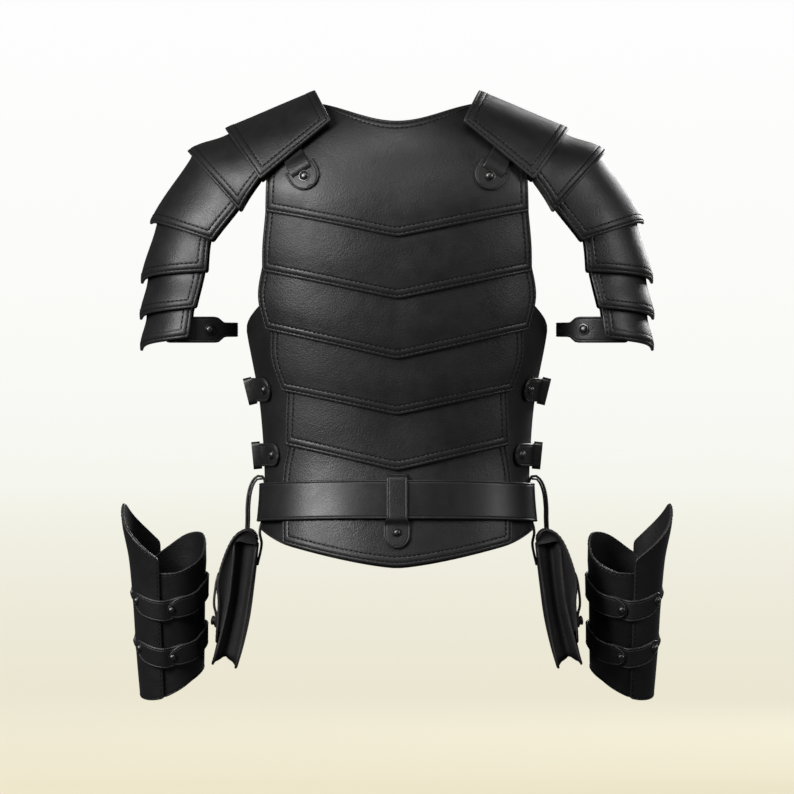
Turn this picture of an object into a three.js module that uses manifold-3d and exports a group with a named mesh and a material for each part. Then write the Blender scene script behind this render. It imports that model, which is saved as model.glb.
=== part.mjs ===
// Lamellar leather armour as worn: a cuirass of overlapping lames front and back, two shoulder
// guards, a belt with two pouches, and two bracers. Millimetres, +Z up, the wearer faces +Y and
// the wearer's right hand is towards +X. The origin is between the shoulders, where it is carried.
import * as THREE from "three";
import { mergeVertices } from "three/addons/utils/BufferGeometryUtils.js";
import Module from "manifold-3d";

const wasm = await Module();
wasm.setup();

// ---------------------------------------------------------------- driving dimensions
const BASE_THICK = 2.5; // under panels that carry the lames
const LAME_THICK = 3.2;
const STRAP_THICK = 2.6;
const BELT_THICK = 3.4;
const GAP = 0.7; // between layers that lie on each other
const SEAM = 0.4; // between edges that meet
const FORM_POWER = 2.3; // roundness of the trunk's section: 2 is an ellipse

// Half width and half depths of the trunk under the leather, each as [height, size].
const TRUNK_WIDTH = [
  [40, 205], [-60, 194], [-140, 177], [-246, 169], [-330, 153.5], [-400, 148], [-440, 148.5], [-514, 157],
];
const BACK_DEPTH = [
  [40, 104], [-60, 110], [-140, 115], [-246, 106], [-330, 94], [-385, 90], [-440, 97], [-514, 110],
];
const FRONT_DEPTH = [
  [40, 88], [-60, 100], [-140, 115], [-246, 111], [-330, 102], [-385, 98], [-440, 101], [-514, 107],
];
const SHOULDER_BEND = -110; // the trunk starts to roll over into the shoulders here
const NECK_SIDE = 88; // where the neckline meets the shoulder seam
const RIDGE = 3; // height of the shoulder seam at the neck
const SHOULDER_SLOPE = 0.42;
const NECK_RISE = 25; // how much higher that ridge would be in the middle of the neck

const OVERLAP = 22; // how far a lame reaches up under the one above it
const YOKE_HALF = 141.5;
// Chevron lames below the yoke: tip height, height at the side edge, half widths from top to bottom.
const LAMES = [
  { tip: -142.4, side: -113, halves: [141.5, 141.5, 141.5] },
  { tip: -211, side: -180, halves: [143, 144, 144] },
  { tip: -278, side: -245, halves: [144, 149, 141] },
  { tip: -341, side: -313, halves: [137, 136, 123.5] },
  { tip: -405.7, side: -375, halves: [120.5, 119.5, 119.5] },
];
const TAIL_HALF = 124.5;
const NECKLINE = { back: -16, front: -40 }; // height of the neckline's lowest point
// The hem is lowest in the middle, rises to the sides and rises more past its corner.
const HEM = { low: -514, rise: 24, at: 120, corner: 118, cornerWide: 38, cornerRise: 11 };
// The under panel's side edge widens below the armhole to this direction round the trunk.
const PANEL = { tucked: 3, widenFrom: -192, widenOver: 62, edge: 84, crowd: 1.35 };
const COLUMN = 25; // spacing of the columns of a torso grid
const INNER_COLUMNS = 4; // fixed columns on each side of the middle

// The belt stands proud of the trunk in front and behind, and lies closer past turnFrom degrees.
const BELT = { top: -416.5, bottom: -460.5, proud: 9.4, side: 4.6, turnFrom: 62, turnOver: 26, droop: 3 };
const LOOP = { half: 11.4, tab: 14.5, top: -409, bottom: -493, rivet: -476, rows: [-478, -485, -490] };
const SIDE_STRAPS = [
  { name: "upper", z: -313, start: 61, half: 13.5 },
  { name: "lower", z: -387, start: 58.4, half: 13 },
];
const BUCKLE = { high: 31, wide: 28, windowHigh: 21, windowWide: 14, thick: 8 };
const FRONT_BUCKLE = { high: 58, wide: 46, windowHigh: 46, windowWide: 30, thick: 5 };

// Left shoulder guard. Each station is the outer face at a lame's lower edge: the point on the
// ridge, the back corner, the half angle of the arch and its half depth. The first is the neck edge.
const STATIONS = [
  { ridge: [-92.7, 24.9], corner: [-74.6, -11.3], spread: 70, depth: 101 },
  { ridge: [-194.4, -18.1], corner: [-153.7, -78], spread: 75, depth: 105 },
  { ridge: [-237.3, -44.1], corner: [-177.4, -113], spread: 80, depth: 86 },
  { ridge: [-278.5, -122], corner: [-207.9, -146.9], spread: 85, depth: 74 },
  { ridge: [-289, -184], corner: [-213.8, -181], spread: 89, depth: 67 },
  { ridge: [-290.5, -227], corner: [-227.1, -221.4], spread: 89, depth: 69 },
  { ridge: [-290, -261], corner: [-233.9, -255.4], spread: 89, depth: 66 },
];
const DIPS = [0, 0, 0.08, 0.26, 0.26, 0.3]; // pointed dip of each lower edge, as a share of the spacing
const TUCK = [0, 0.3, 0.3, 0.26, 0.34, 0.4]; // how far each lame reaches back under the last one
const SHOULDER_COLUMNS = [-1, -0.8, -0.58, -0.34, -0.14, 0, 0.14, 0.34, 0.58, 0.8, 1];

// The arm strap is narrow on the outside of the arm and widens past these degrees into its tabs.
const ARM_STRAP = {
  x: -234, z: -246, radius: 51.8, reach: 118, tab: 14.5, narrow: 8, widenFrom: 42, widenOver: 14, rivet: -64,
};
const SHOULDER_TAB = {
  x: -100.5, z: -76.5, lean: 31.5, half: 17, strapHalf: 11.5, up: 40, top: 12, end: 15,
};

// Left bracer: its axis, radii of the outer shell down the arm, and the edges of its pieces.
const BRACER_TOP = new THREE.Vector3(-261, -4, -444);
const BRACER_FOOT = new THREE.Vector3(-256, 50, -660);
const BRACER_RADIUS = [[0, 51], [0.1, 50], [0.28, 43.5], [0.5, 40.5], [0.75, 38.5], [1, 35.5]];
const BRACER_BULGE = 5; // how much fuller the side to the body is
const BRACER_SHELL = { reach: 78, rim: 0.28, peak: 14, foot: 0.025 };
const BRACER_STRIPS = 12; // strips round a bracer shell
const TONGUE_REACH = 114;
// Edges of the tongue and rise of the straps: [direction round the arm, share down the bracer].
const TONGUE_TOP = [
  [66, 0.31], [90, 0.26], [124, 0.19], [158, 0.168], [180, 0.195], [201, 0.245], [222, 0.276], [237, 0.292],
  [254, 0.309], [294, 0.312],
];
const TONGUE_FOOT = [
  [66, 0.97], [95, 0.93], [138, 0.88], [180, 0.86], [222, 0.89], [245, 0.926], [265, 0.955], [280, 0.972],
  [294, 0.978],
];
const BRACER_STRAPS = [
  { name: "upper", at: 0.507, half: 0.056 },
  { name: "lower", at: 0.758, half: 0.054 },
];
const STRAP_RISE = [
  [14, 0.03], [38, 0.035], [124, 0.06], [180, 0.084], [234, 0.028], [250, 0.018], [276, 0], [312, 0.02],
  [333, 0.052],
];
const BRACER_STRAP_REACH = [14, 333]; // where the straps begin and end round the forearm
const BRACER_RIVETS = [23, 264, 325];

const POUCH = { high: 143, wide: 114, deep: 23, wall: 2.2, fold: 8, lean: 9.5, top: [-156.5, -487] };

// The flap, its closing strap and the hanger seen from the side, as [out, up].
// Beyond the pouch's top the flap's places, and all of the strap's, are from the pouch's depth.
const FLAP_BEHIND = [[1.6, 2.5], [4.5, 8.5], [9, 12.4], [13, 13.4]];
const FLAP_BEYOND = [
  [-5.5, 12], [2.5, 5.5], [8.2, -7], [12.4, -28], [13.9, -46], [13.2, -57], [10.6, -66], [8.9, -75],
  [7.8, -86], [6.4, -101], [4.6, -118],
];
const CLOSING_LINE = [
  [16.3, -47], [16.9, -54], [16.7, -61], [15.8, -71], [14.3, -79], [11.8, -85.5], [10.6, -92], [9.9, -102],
];
const CHEEK_INSIDE = [[0.8, -118], [1.6, -98], [0.9, -72], [0.9, -42], [0.9, -8], [0.9, 1.3]];
const HANGER_LINE = [
  [-9, -512], [-4.1, -488], [-6.2, -476], [-4.8, -466], [-0.4, -454], [0, -440], [0, -420], [-3, -412],
  [-9, -411.5], [-15, -418], [-19, -430], [-20.8, -446], [-20.9, -458], [-21.1, -466.5],
];
const FLAP_THICK = 2.4;
const CHEEK_THICK = 1.8;
const CLOSING = { thick: 2.4, wide: 20 };
const HANGER = { thick: 2.8, wide: 26, inside: 1.2 };
const STUD = { radius: 5.4, thick: 6, out: 13.6, up: -94.5 };

const RIVET = { radius: 4.4, high: 1.6, sunk: 1.2, sides: 8 };

// ---------------------------------------------------------------- small helpers
const clamp01 = (value) => Math.min(1, Math.max(0, value));
const mix = (a, b, share) => a + (b - a) * share;
const ease = (share) => clamp01(share) ** 2 * (3 - 2 * clamp01(share));
const radians = (degrees) => (degrees * Math.PI) / 180;
const steps = (count) => Array.from({ length: count + 1 }, (_, i) => i / count);

// A smooth curve through [position, value] pairs, straight beyond its ends.
function track(pairs) {
  const sorted = [...pairs].sort((a, b) => a[0] - b[0]);
  const slope = (i, j) => (sorted[j][1] - sorted[i][1]) / (sorted[j][0] - sorted[i][0]);
  const last = sorted.length - 1;
  const tangent = (i) => slope(Math.max(0, i - 1), Math.min(last, i + 1));
  return (at) => {
    if (at <= sorted[0][0]) return sorted[0][1] + tangent(0) * (at - sorted[0][0]);
    if (at >= sorted[last][0]) return sorted[last][1] + tangent(last) * (at - sorted[last][0]);
    const i = sorted.findIndex((pair) => pair[0] > at) - 1;
    const span = sorted[i + 1][0] - sorted[i][0];
    const s = (at - sorted[i][0]) / span;
    const h = s * s * (3 - 2 * s);
    return mix(sorted[i][1], sorted[i + 1][1], h)
      + span * s * (1 - s) * ((1 - s) * tangent(i) - s * tangent(i + 1));
  };
}

function geometryOf(positions, triangles) {
  const geometry = new THREE.BufferGeometry();
  geometry.setAttribute("position", new THREE.Float32BufferAttribute(positions, 3));
  geometry.setIndex(triangles);
  return geometry;
}

// Signed volume of a closed mesh, negative when its faces point inwards.
function volumeOf(geometry) {
  const { array } = geometry.getAttribute("position");
  const index = geometry.index.array;
  const corner = (i) => new THREE.Vector3().fromArray(array, index[i] * 3);
  let volume = 0;
  for (let i = 0; i < index.length; i += 3) volume += corner(i).dot(corner(i + 1).cross(corner(i + 2))) / 6;
  return volume;
}

function facingOut(geometry) {
  if (volumeOf(geometry) > 0) return geometry;
  const index = geometry.index.array;
  for (let i = 0; i < index.length; i += 3) [index[i + 1], index[i + 2]] = [index[i + 2], index[i + 1]];
  return geometry;
}

// A closed sheet between two grids of points, row by row. A ring joins its last column to its first.
function sheet(outer, inner, ring = false) {
  const rows = outer.length;
  const columns = outer[0].length;
  const positions = [...outer.flat(), ...inner.flat()].flatMap((p) => p.toArray());
  const at = (layer, row, column) => (layer * rows + row) * columns + (column % columns);
  const triangles = [];
  const quad = (a, b, c, d) => triangles.push(a, b, c, a, c, d);
  const strips = ring ? columns : columns - 1;
  for (let c = 0; c < strips; c++) {
    for (let r = 0; r < rows - 1; r++) {
      quad(at(0, r, c), at(0, r + 1, c), at(0, r + 1, c + 1), at(0, r, c + 1));
      quad(at(1, r, c), at(1, r, c + 1), at(1, r + 1, c + 1), at(1, r + 1, c));
    }
    quad(at(0, 0, c), at(0, 0, c + 1), at(1, 0, c + 1), at(1, 0, c));
    quad(at(0, rows - 1, c), at(1, rows - 1, c), at(1, rows - 1, c + 1), at(0, rows - 1, c + 1));
  }
  for (let r = 0; !ring && r < rows - 1; r++) {
    quad(at(0, r, 0), at(1, r, 0), at(1, r + 1, 0), at(0, r + 1, 0));
    quad(at(0, r, strips), at(0, r + 1, strips), at(1, r + 1, strips), at(1, r, strips));
  }
  return facingOut(geometryOf(positions, triangles));
}

// A sheet laid on a surface: place(u, v, offset) gives its points, thick is its thickness.
function laid(us, vs, place, low, thick, ring = false) {
  const level = (u, v) => (typeof low === "function" ? low(u, v) : low);
  const grid = (extra) => vs.map((v) => us.map((u) => place(u, v, level(u, v) + extra)));
  return sheet(grid(thick), grid(0), ring);
}

function solidOf(geometry) {
  const bare = geometry.index ? geometry.toNonIndexed() : geometry.clone();
  bare.deleteAttribute("normal");
  bare.deleteAttribute("uv");
  const merged = mergeVertices(bare, 1e-3);
  return new wasm.Manifold(new wasm.Mesh({
    numProp: 3,
    vertProperties: merged.attributes.position.array,
    triVerts: new Uint32Array(merged.index.array),
  }));
}

function fromSolid(solid) {
  const mesh = solid.getMesh();
  return geometryOf(Array.from(mesh.vertProperties), Array.from(mesh.triVerts));
}

const joined = (...geometries) => fromSolid(geometries.map(solidOf).reduce((a, b) => a.add(b)));

function mirrored(geometry) {
  const copy = geometry.clone();
  copy.scale(-1, 1, 1);
  return facingOut(copy);
}

// ---------------------------------------------------------------- the trunk under the leather
const halfWidth = track(TRUNK_WIDTH);
const halfDepth = { back: track(BACK_DEPTH), front: track(FRONT_DEPTH) };

function ridge(x) {
  const across = Math.abs(x);
  if (across >= NECK_SIDE) return RIDGE - SHOULDER_SLOPE * (across - NECK_SIDE);
  return RIDGE + NECK_RISE * (1 - (across / NECK_SIDE) ** 2);
}

// Depth of the trunk at (x, z), to the power of its section, before the root is taken.
function depthPower(x, z, side) {
  const roll = clamp01((z - SHOULDER_BEND) / (ridge(x) - SHOULDER_BEND));
  const across = Math.min(1, Math.abs(x) / halfWidth(z));
  return halfDepth[side](z) ** FORM_POWER * (1 - across ** FORM_POWER) * (1 - roll ** FORM_POWER);
}

function trunkNormal(x, y, z, side) {
  const h = 0.02;
  const level = (px, pz) => depthPower(px, pz, side);
  const depthSlope = FORM_POWER * Math.abs(y) ** (FORM_POWER - 1) * Math.sign(y);
  return new THREE.Vector3(
    -(level(x + h, z) - level(x - h, z)) / (2 * h),
    depthSlope,
    -(level(x, z + h) - level(x, z - h)) / (2 * h),
  ).normalize();
}

// The point of the trunk at (x, z), moved out by offset. The two halves stand a seam apart.
function trunkPoint(x, z, offset, side) {
  const sign = side === "back" ? -1 : 1;
  const y = sign * depthPower(x, z, side) ** (1 / FORM_POWER);
  return new THREE.Vector3(x, y, z)
    .addScaledVector(trunkNormal(x, y, z, side), offset)
    .add(new THREE.Vector3(0, (sign * SEAM) / 2, 0));
}

// The point of the trunk in a direction: 0 is the middle of the back, 90 the right side, 180 the front.
function girdlePoint(degrees, z, offset) {
  const c = Math.cos(radians(degrees));
  const s = Math.sin(radians(degrees));
  const side = c > 0 ? "back" : "front";
  const x = halfWidth(z) * Math.sign(s) * Math.abs(s) ** (2 / FORM_POWER) * 0.99999;
  const y = -Math.sign(c) * depthPower(x, z, side) ** (1 / FORM_POWER);
  return new THREE.Vector3(x, y, z).addScaledVector(trunkNormal(x, y, z, side), offset);
}

// Height on the trunk as a bend that is even over the rolled shoulder, and back again.
const toBend = (x, z) => {
  const share = (z - SHOULDER_BEND) / (ridge(x) - SHOULDER_BEND);
  return share > 0 ? Math.asin(Math.min(1, share)) : share;
};
const fromBend = (x, bend) =>
  SHOULDER_BEND + (ridge(x) - SHOULDER_BEND) * (bend > 0 ? Math.sin(bend) : bend);

// ---------------------------------------------------------------- cuirass
const chevron = (lame) => (x) => mix(lame.tip, lame.side, Math.abs(x) / lame.halves[2]);

function hem(x) {
  const across = Math.abs(x);
  const corner = Math.max(0, across - HEM.corner) / HEM.cornerWide;
  return HEM.low + HEM.rise * (across / HEM.at) ** 1.4 + HEM.cornerRise * corner ** 2;
}

// The upper edge of the yoke: an oval neckline that runs up to the shoulder seam.
function topLine(x, side) {
  const across = Math.abs(x) / NECK_SIDE;
  if (across >= 1) return ridge(x);
  const low = Math.cos(toBend(0, NECKLINE[side]));
  return fromBend(x, Math.acos(low * Math.sqrt(1 - across ** 2)));
}

// Columns of a torso sheet: fixed ones in the middle, then a few out to the side edge.
function torsoColumns(outerStrips, seamColumn) {
  const half = [];
  for (let i = 1; i <= INNER_COLUMNS; i++) half.push({ x: i * COLUMN });
  if (seamColumn) half.splice(INNER_COLUMNS - 1, 0, { x: NECK_SIDE - 5 }, { x: NECK_SIDE });
  for (let i = 1; i <= outerStrips; i++) half.push({ share: i / outerStrips });
  const other = half.map((column) => ({ ...column, left: true })).reverse();
  return [...other, { x: 0 }, ...half];
}

// A torso sheet: each of its rows is a line that gives the height at x, from the top down.
function torsoSheet({ side, edge, rows, low, thick, strips = 3, seam = false }) {
  const inner = INNER_COLUMNS * COLUMN;
  const top = rows[0];
  const bottom = rows.at(-1);
  const locate = (column, row) => {
    const share = (top(inner) - row(inner)) / (top(inner) - bottom(inner));
    const size = column.x ?? mix(inner, edge(share), column.share);
    const x = column.left ? -size : size;
    return [x, row(x)];
  };
  const place = (column, row, offset) => trunkPoint(...locate(column, row), offset, side);
  return laid(torsoColumns(strips, seam), rows, place, (column, row) => low(...locate(column, row)), thick);
}

// The line a share of the way from one line down to another, over the rolled shoulder too.
const between = (upper, lower, share) => (x) =>
  fromBend(x, mix(toBend(x, upper(x)), toBend(x, lower(x)), share));
const above = (line, height) => (x) => line(x) + height;

const LOWEST = BASE_THICK + 1.8; // a lame's upper edge over its under panel
const RISE = LAME_THICK + GAP + 0.2; // how far its lower edge stands over the next lame
const RISE_START = OVERLAP + 29; // over its lower edge, where a lame starts to come out
const RISE_LENGTH = 25;

const lameLow = (index) => (x, z) => {
  const height = z - chevron(LAMES[index])(x);
  return LOWEST + RISE * ease((RISE_START - height) / RISE_LENGTH);
};

function lameRows(side, index) {
  const bottom = chevron(LAMES[index]);
  const flat = above(bottom, OVERLAP + 4);
  if (index === 0) {
    const top = (x) => topLine(x, side);
    return [top, ...[0.22, 0.48, 0.76].map((share) => between(top, flat, share)), flat, bottom];
  }
  const top = above(chevron(LAMES[index - 1]), OVERLAP);
  return [top, between(top, flat, 0.55), flat, bottom];
}

function lameSheet(side, index) {
  const { halves } = LAMES[index];
  return torsoSheet({
    side,
    rows: lameRows(side, index),
    edge: track([[0, halves[0]], [0.55, halves[1]], [1, halves[2]]]),
    low: lameLow(index),
    thick: LAME_THICK,
    seam: index === 0,
  });
}

const tailTop = above(chevron(LAMES[4]), OVERLAP);
const TAIL_SHARES = [0, 0.22, 0.45, 0.72, 1];

function tailSheet(side) {
  const rows = TAIL_SHARES.map((share) => between(tailTop, above(hem, 1.5), share));
  return torsoSheet({ side, rows, edge: () => TAIL_HALF, low: () => LOWEST, thick: LAME_THICK });
}

// The under panel is narrow beside the arm, then widens below the armhole to the side opening.
// Its rows follow the yoke, then the lames, then the tail.
function panelSheet(side) {
  const rows = [
    ...lameRows(side, 0),
    ...[0.28, 0.52, 0.76].map((share) => between(chevron(LAMES[0]), tailTop, share)),
    ...TAIL_SHARES.map((share) => between(tailTop, hem, share)),
  ];
  const { tucked, widenFrom, widenOver, edge: edgeDegrees, crowd } = PANEL;
  const place = (column, row, offset) => {
    const sideHeight = row(YOKE_HALF);
    const widest = halfWidth(sideHeight) * Math.sin(radians(edgeDegrees)) ** (2 / FORM_POWER);
    const edge = mix(YOKE_HALF - tucked, widest, ease((widenFrom - sideHeight) / widenOver));
    const size = column.x ?? mix(INNER_COLUMNS * COLUMN, edge, 1 - (1 - column.share) ** crowd);
    const x = column.left ? -size : size;
    const z = row(x);
    return trunkPoint(Math.sign(x) * Math.min(size, halfWidth(z) * 0.9955), z, offset, side);
  };
  return laid(torsoColumns(4, true), rows, place, 0, BASE_THICK);
}

// ---------------------------------------------------------------- rivets and round ends
function rivet(point, outward) {
  const { radius, high, sunk, sides } = RIVET;
  const head = new THREE.CylinderGeometry(radius * 0.7, radius, high + sunk, sides);
  head.translate(0, (high - sunk) / 2, 0);
  const turn = new THREE.Quaternion().setFromUnitVectors(new THREE.Vector3(0, 1, 0), outward);
  return head.applyQuaternion(turn).translate(point.x, point.y, point.z);
}

// The half width of a strap with a round end, at a distance from that end.
const roundEnd = (half, fromEnd) => {
  const inside = clamp01(fromEnd / half);
  return half * Math.max(0.3, Math.sqrt(inside * (2 - inside)));
};

// ---------------------------------------------------------------- belt, straps and buckles
const beltLow = (degrees) => {
  const off = Math.abs(((degrees + 90) % 180) - 90); // from the nearest middle, back or front
  return mix(BELT.proud, BELT.side, ease((off - BELT.turnFrom) / BELT.turnOver));
};

function beltRing() {
  const around = steps(32).slice(0, -1).map((s) => s * 360);
  const droop = (degrees) => BELT.droop * Math.abs(Math.sin(radians(degrees))) ** 3;
  const height = (degrees, v) => mix(BELT.top, BELT.bottom, v) - droop(degrees);
  const place = (degrees, v, offset) => girdlePoint(degrees, height(degrees, v), offset);
  return laid(around, [0, 1], place, (degrees) => beltLow(degrees), BELT_THICK, true);
}

function backLoop() {
  const over = beltLow(0) + BELT_THICK + GAP;
  const under = LOWEST + LAME_THICK + GAP + 0.3;
  const acrossBelt = [BELT.top + 5, BELT.top + 1, BELT.bottom - 1, BELT.bottom - 6];
  const rows = [LOOP.top, ...acrossBelt, ...LOOP.rows, LOOP.bottom];
  const low = (u, z) => (z <= BELT.top + 2 && z >= BELT.bottom - 2 ? over : under);
  const half = (z) => (z > BELT.bottom - 3 ? LOOP.half : roundEnd(LOOP.tab, z - LOOP.bottom));
  const place = (u, z, offset) => trunkPoint(u * half(z), z, offset, "back");
  const strap = laid([-1, -0.5, 0, 0.5, 1], rows, place, low, STRAP_THICK);
  const head = trunkPoint(0, LOOP.rivet, under + STRAP_THICK, "back");
  return joined(strap, rivet(head, new THREE.Vector3(0, -1, 0)));
}

const SIDE_LOW = BASE_THICK + 1.4;
const SIDE_MM = 2.4; // length round the side for each degree, nearly

function sideStrap({ z, start, half }) {
  const low = SIDE_LOW;
  const toMiddle = [0, 0.03, 0.1, 0.22, 0.36];
  const along = [...toMiddle, 0.5, ...toMiddle.map((share) => 1 - share).reverse()];
  const length = SIDE_MM * (90 - start) * 2;
  const place = (u, v, offset) => {
    const fromEnd = Math.min(u, 1 - u) * length;
    return girdlePoint(-mix(start, 180 - start, u), z + (1 - 2 * v) * roundEnd(half, fromEnd), offset);
  };
  const band = laid(along, [0, 1], place, low, STRAP_THICK);
  const ends = [0.1, 0.9].map((u) => {
    const seat = place(u, 0.5, low + STRAP_THICK);
    const outward = seat.clone().sub(place(u, 0.5, low)).normalize();
    return rivet(seat, outward);
  });
  return joined(band, ...ends);
}

function roundedFrame({ high, wide, windowHigh, windowWide, thick }) {
  const outline = (w, h, r) => {
    const shape = new THREE.Shape();
    shape.moveTo(-w / 2 + r, -h / 2);
    shape.lineTo(w / 2 - r, -h / 2);
    shape.absarc(w / 2 - r, -h / 2 + r, r, -Math.PI / 2, 0);
    shape.absarc(w / 2 - r, h / 2 - r, r, 0, Math.PI / 2);
    shape.absarc(-w / 2 + r, h / 2 - r, r, Math.PI / 2, Math.PI);
    shape.absarc(-w / 2 + r, -h / 2 + r, r, Math.PI, 1.5 * Math.PI);
    return shape;
  };
  const frame = outline(wide, high, 5);
  frame.holes.push(outline(windowWide, windowHigh, 2));
  return new THREE.ExtrudeGeometry(frame, { depth: thick, bevelEnabled: false, curveSegments: 2 });
}

// The pin across a buckle's window, level with its face.
const prong = ({ wide, thick }, radius) => new THREE.CylinderGeometry(radius, radius, wide - 4 * radius, 6)
  .rotateZ(Math.PI / 2)
  .translate(0, 0, thick - radius);

// A buckle at the wearer's left side, standing just off its strap and leaning with the trunk.
function sideBuckle({ z }) {
  const seat = girdlePoint(-90, z, SIDE_LOW + STRAP_THICK + SEAM + 0.8);
  const outward = seat.clone().sub(girdlePoint(-90, z, 0)).setY(0).normalize();
  const across = new THREE.Vector3(0, -1, 0);
  const stand = new THREE.Matrix4()
    .makeBasis(across, outward.clone().cross(across), outward)
    .setPosition(seat.x, 0, seat.z);
  return joined(roundedFrame(BUCKLE), prong(BUCKLE, 1.5)).applyMatrix4(stand);
}

function frontBuckle() {
  const z = (BELT.top + BELT.bottom) / 2;
  const seat = girdlePoint(180, z, beltLow(180) + BELT_THICK + SEAM + 1.6);
  return joined(roundedFrame(FRONT_BUCKLE), prong(FRONT_BUCKLE, 2.2))
    .rotateX(-Math.PI / 2)
    .translate(0, seat.y, z);
}

// ---------------------------------------------------------------- shoulder guards
const stationTracks = {
  ridgeX: track(STATIONS.map((s, i) => [i, s.ridge[0]])),
  ridgeZ: track(STATIONS.map((s, i) => [i, s.ridge[1]])),
  cornerX: track(STATIONS.map((s, i) => [i, s.corner[0]])),
  cornerZ: track(STATIONS.map((s, i) => [i, s.corner[1]])),
  spread: track(STATIONS.map((s, i) => [i, s.spread])),
  depth: track(STATIONS.map((s, i) => [i, s.depth])),
};

// A point of the left guard's outer face: w runs down the lames, f from -1 at the back to 1.
function guardPoint(f, w) {
  const top = new THREE.Vector3(stationTracks.ridgeX(w), 0, stationTracks.ridgeZ(w));
  const foot = new THREE.Vector3(stationTracks.cornerX(w), 0, stationTracks.cornerZ(w));
  const spread = radians(stationTracks.spread(w));
  const up = top.clone().sub(foot);
  const radius = up.length() / (1 - Math.cos(spread));
  const turn = f * spread;
  const point = top.addScaledVector(up.normalize(), radius * (Math.cos(turn) - 1));
  point.y = stationTracks.depth(w) * Math.sin(turn);
  return point;
}

function guardOffset(f, w, offset) {
  const h = 0.01;
  const across = guardPoint(f + h, w).sub(guardPoint(f - h, w));
  const down = guardPoint(f, w + h).sub(guardPoint(f, w - h));
  return guardPoint(f, w).addScaledVector(across.cross(down).normalize(), offset);
}

function guardLame(index) {
  const start = index - TUCK[index];
  const tucked = TUCK[index] / (1 + TUCK[index]);
  const place = (f, v, offset) => {
    const narrow = mix(index ? 0.955 : 1, 1, v);
    const dip = DIPS[index] * Math.exp(-Math.abs(f) / 0.22);
    return guardOffset(f * narrow, mix(start, index + 1 + dip, v), offset);
  };
  const low = (f, v) => {
    const deep = index ? LAME_THICK + GAP + 1.8 + 2 * Math.cos(radians(90 * f)) : 0;
    return -LAME_THICK - deep * (1 - ease((v - tucked) / (0.9 - tucked)));
  };
  return laid(SHOULDER_COLUMNS, [0, tucked || 0.2, 0.62, 1], place, low, LAME_THICK);
}

function armStrap() {
  const { x, z, radius, reach, tab, narrow, widenFrom, widenOver } = ARM_STRAP;
  const along = steps(16).map((s) => mix(-reach, reach, s));
  const place = (degrees, v, offset) => {
    const half = mix(narrow, tab, ease((Math.abs(degrees) - widenFrom) / widenOver));
    const r = radius + offset;
    const turn = radians(degrees);
    return new THREE.Vector3(x + r * Math.cos(turn), r * Math.sin(turn), z + half * (1 - 2 * v));
  };
  const seat = place(ARM_STRAP.rivet, 0.5, STRAP_THICK);
  const outward = new THREE.Vector3(seat.x - x, seat.y, 0).normalize();
  return joined(laid(along, [0, 1], place, 0, STRAP_THICK), rivet(seat, outward));
}

// The patch and strap that tie a guard to the yoke.
function shoulderTab(side) {
  const { x, z, lean, half, strapHalf, up, top, end } = SHOULDER_TAB;
  const down = new THREE.Vector2(Math.sin(radians(lean)), -Math.cos(radians(lean)));
  const on = (u, s, offset) => {
    const [px, pz] = [x + down.x * s - down.y * u, z + down.y * s + down.x * u];
    return trunkPoint(px, pz, lameLow(0)(px, pz) + LAME_THICK + 1 + offset, side);
  };
  const patchRows = [-top, 0, end * 0.55, end * 0.85, end];
  const patch = laid([-1, 0, 1], patchRows, (u, s, o) => on(u * roundEnd(half, end - s), s, o), 0, 2.2);
  const strapLow = (u, s) => 2 * ease((s + 22) / 10);
  const strapRows = [-up, -up / 2 - 4, -14, -5];
  const strap = laid([-1, 0, 1], strapRows, (u, s, o) => on(u * strapHalf, s, o), strapLow, 2.4);
  const point = on(0, 1, 2.2);
  const outward = point.clone().sub(on(0, 1, 0)).normalize();
  return joined(patch, strap, rivet(point, outward));
}

// ---------------------------------------------------------------- bracers
const bracerRadius = track(BRACER_RADIUS);
const bracerAxis = BRACER_FOOT.clone().sub(BRACER_TOP);
const bracerOut = new THREE.Vector3(-1, 0, 0)
  .addScaledVector(bracerAxis, bracerAxis.x / bracerAxis.lengthSq())
  .normalize();
const bracerBack = new THREE.Vector3().crossVectors(bracerAxis, bracerOut).normalize();

// A point of the left bracer: 0 is its outer side, 180 the side to the body, 270 the back.
function bracerPoint(degrees, s, offset) {
  const turn = radians(degrees);
  const flare = Math.max(0, Math.cos(turn));
  const bulge = BRACER_BULGE * Math.max(0, -Math.cos(turn));
  const radius = mix(bracerRadius(Math.max(s, 0.3)), bracerRadius(s), flare) + bulge + offset;
  return BRACER_TOP.clone()
    .addScaledVector(bracerAxis, s)
    .addScaledVector(bracerOut, radius * Math.cos(turn))
    .addScaledVector(bracerBack, radius * Math.sin(turn));
}

// The shell's upper rim is highest at the outer side and falls away to its edges.
function bracerShell() {
  const { reach, rim, peak, foot } = BRACER_SHELL;
  const along = steps(BRACER_STRIPS).map((share) => mix(-reach, reach, share));
  const soft = 0.1; // keeps the rim's highest point round
  const place = (degrees, v, offset) => {
    const away = degrees > peak ? (degrees - peak) / (reach - peak) : (peak - degrees) / (reach + peak);
    const top = rim * (Math.hypot(away, soft) ** 0.8 - soft ** 0.8);
    return bracerPoint(degrees, mix(top, 1 - foot * Math.abs(degrees / reach) ** 3, v), offset);
  };
  return laid(along, [0, 0.14, 0.28, 0.42, 0.56, 0.75, 1], place, -LAME_THICK, LAME_THICK);
}

const tongueTop = track(TONGUE_TOP);
const tongueFoot = track(TONGUE_FOOT);
const strapRise = track(STRAP_RISE);
const TONGUE_THICK = 2.4;

function bracerTongue() {
  const along = steps(12).map((share) => mix(180 - TONGUE_REACH, 180 + TONGUE_REACH, share));
  const down = (degrees, v) => mix(tongueTop(degrees), tongueFoot(degrees), v);
  const place = (degrees, v, offset) => bracerPoint(degrees, down(degrees, v), offset);
  return laid(along, [0, 0.2, 0.4, 0.7, 1], place, -LAME_THICK - GAP - TONGUE_THICK, TONGUE_THICK);
}

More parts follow.
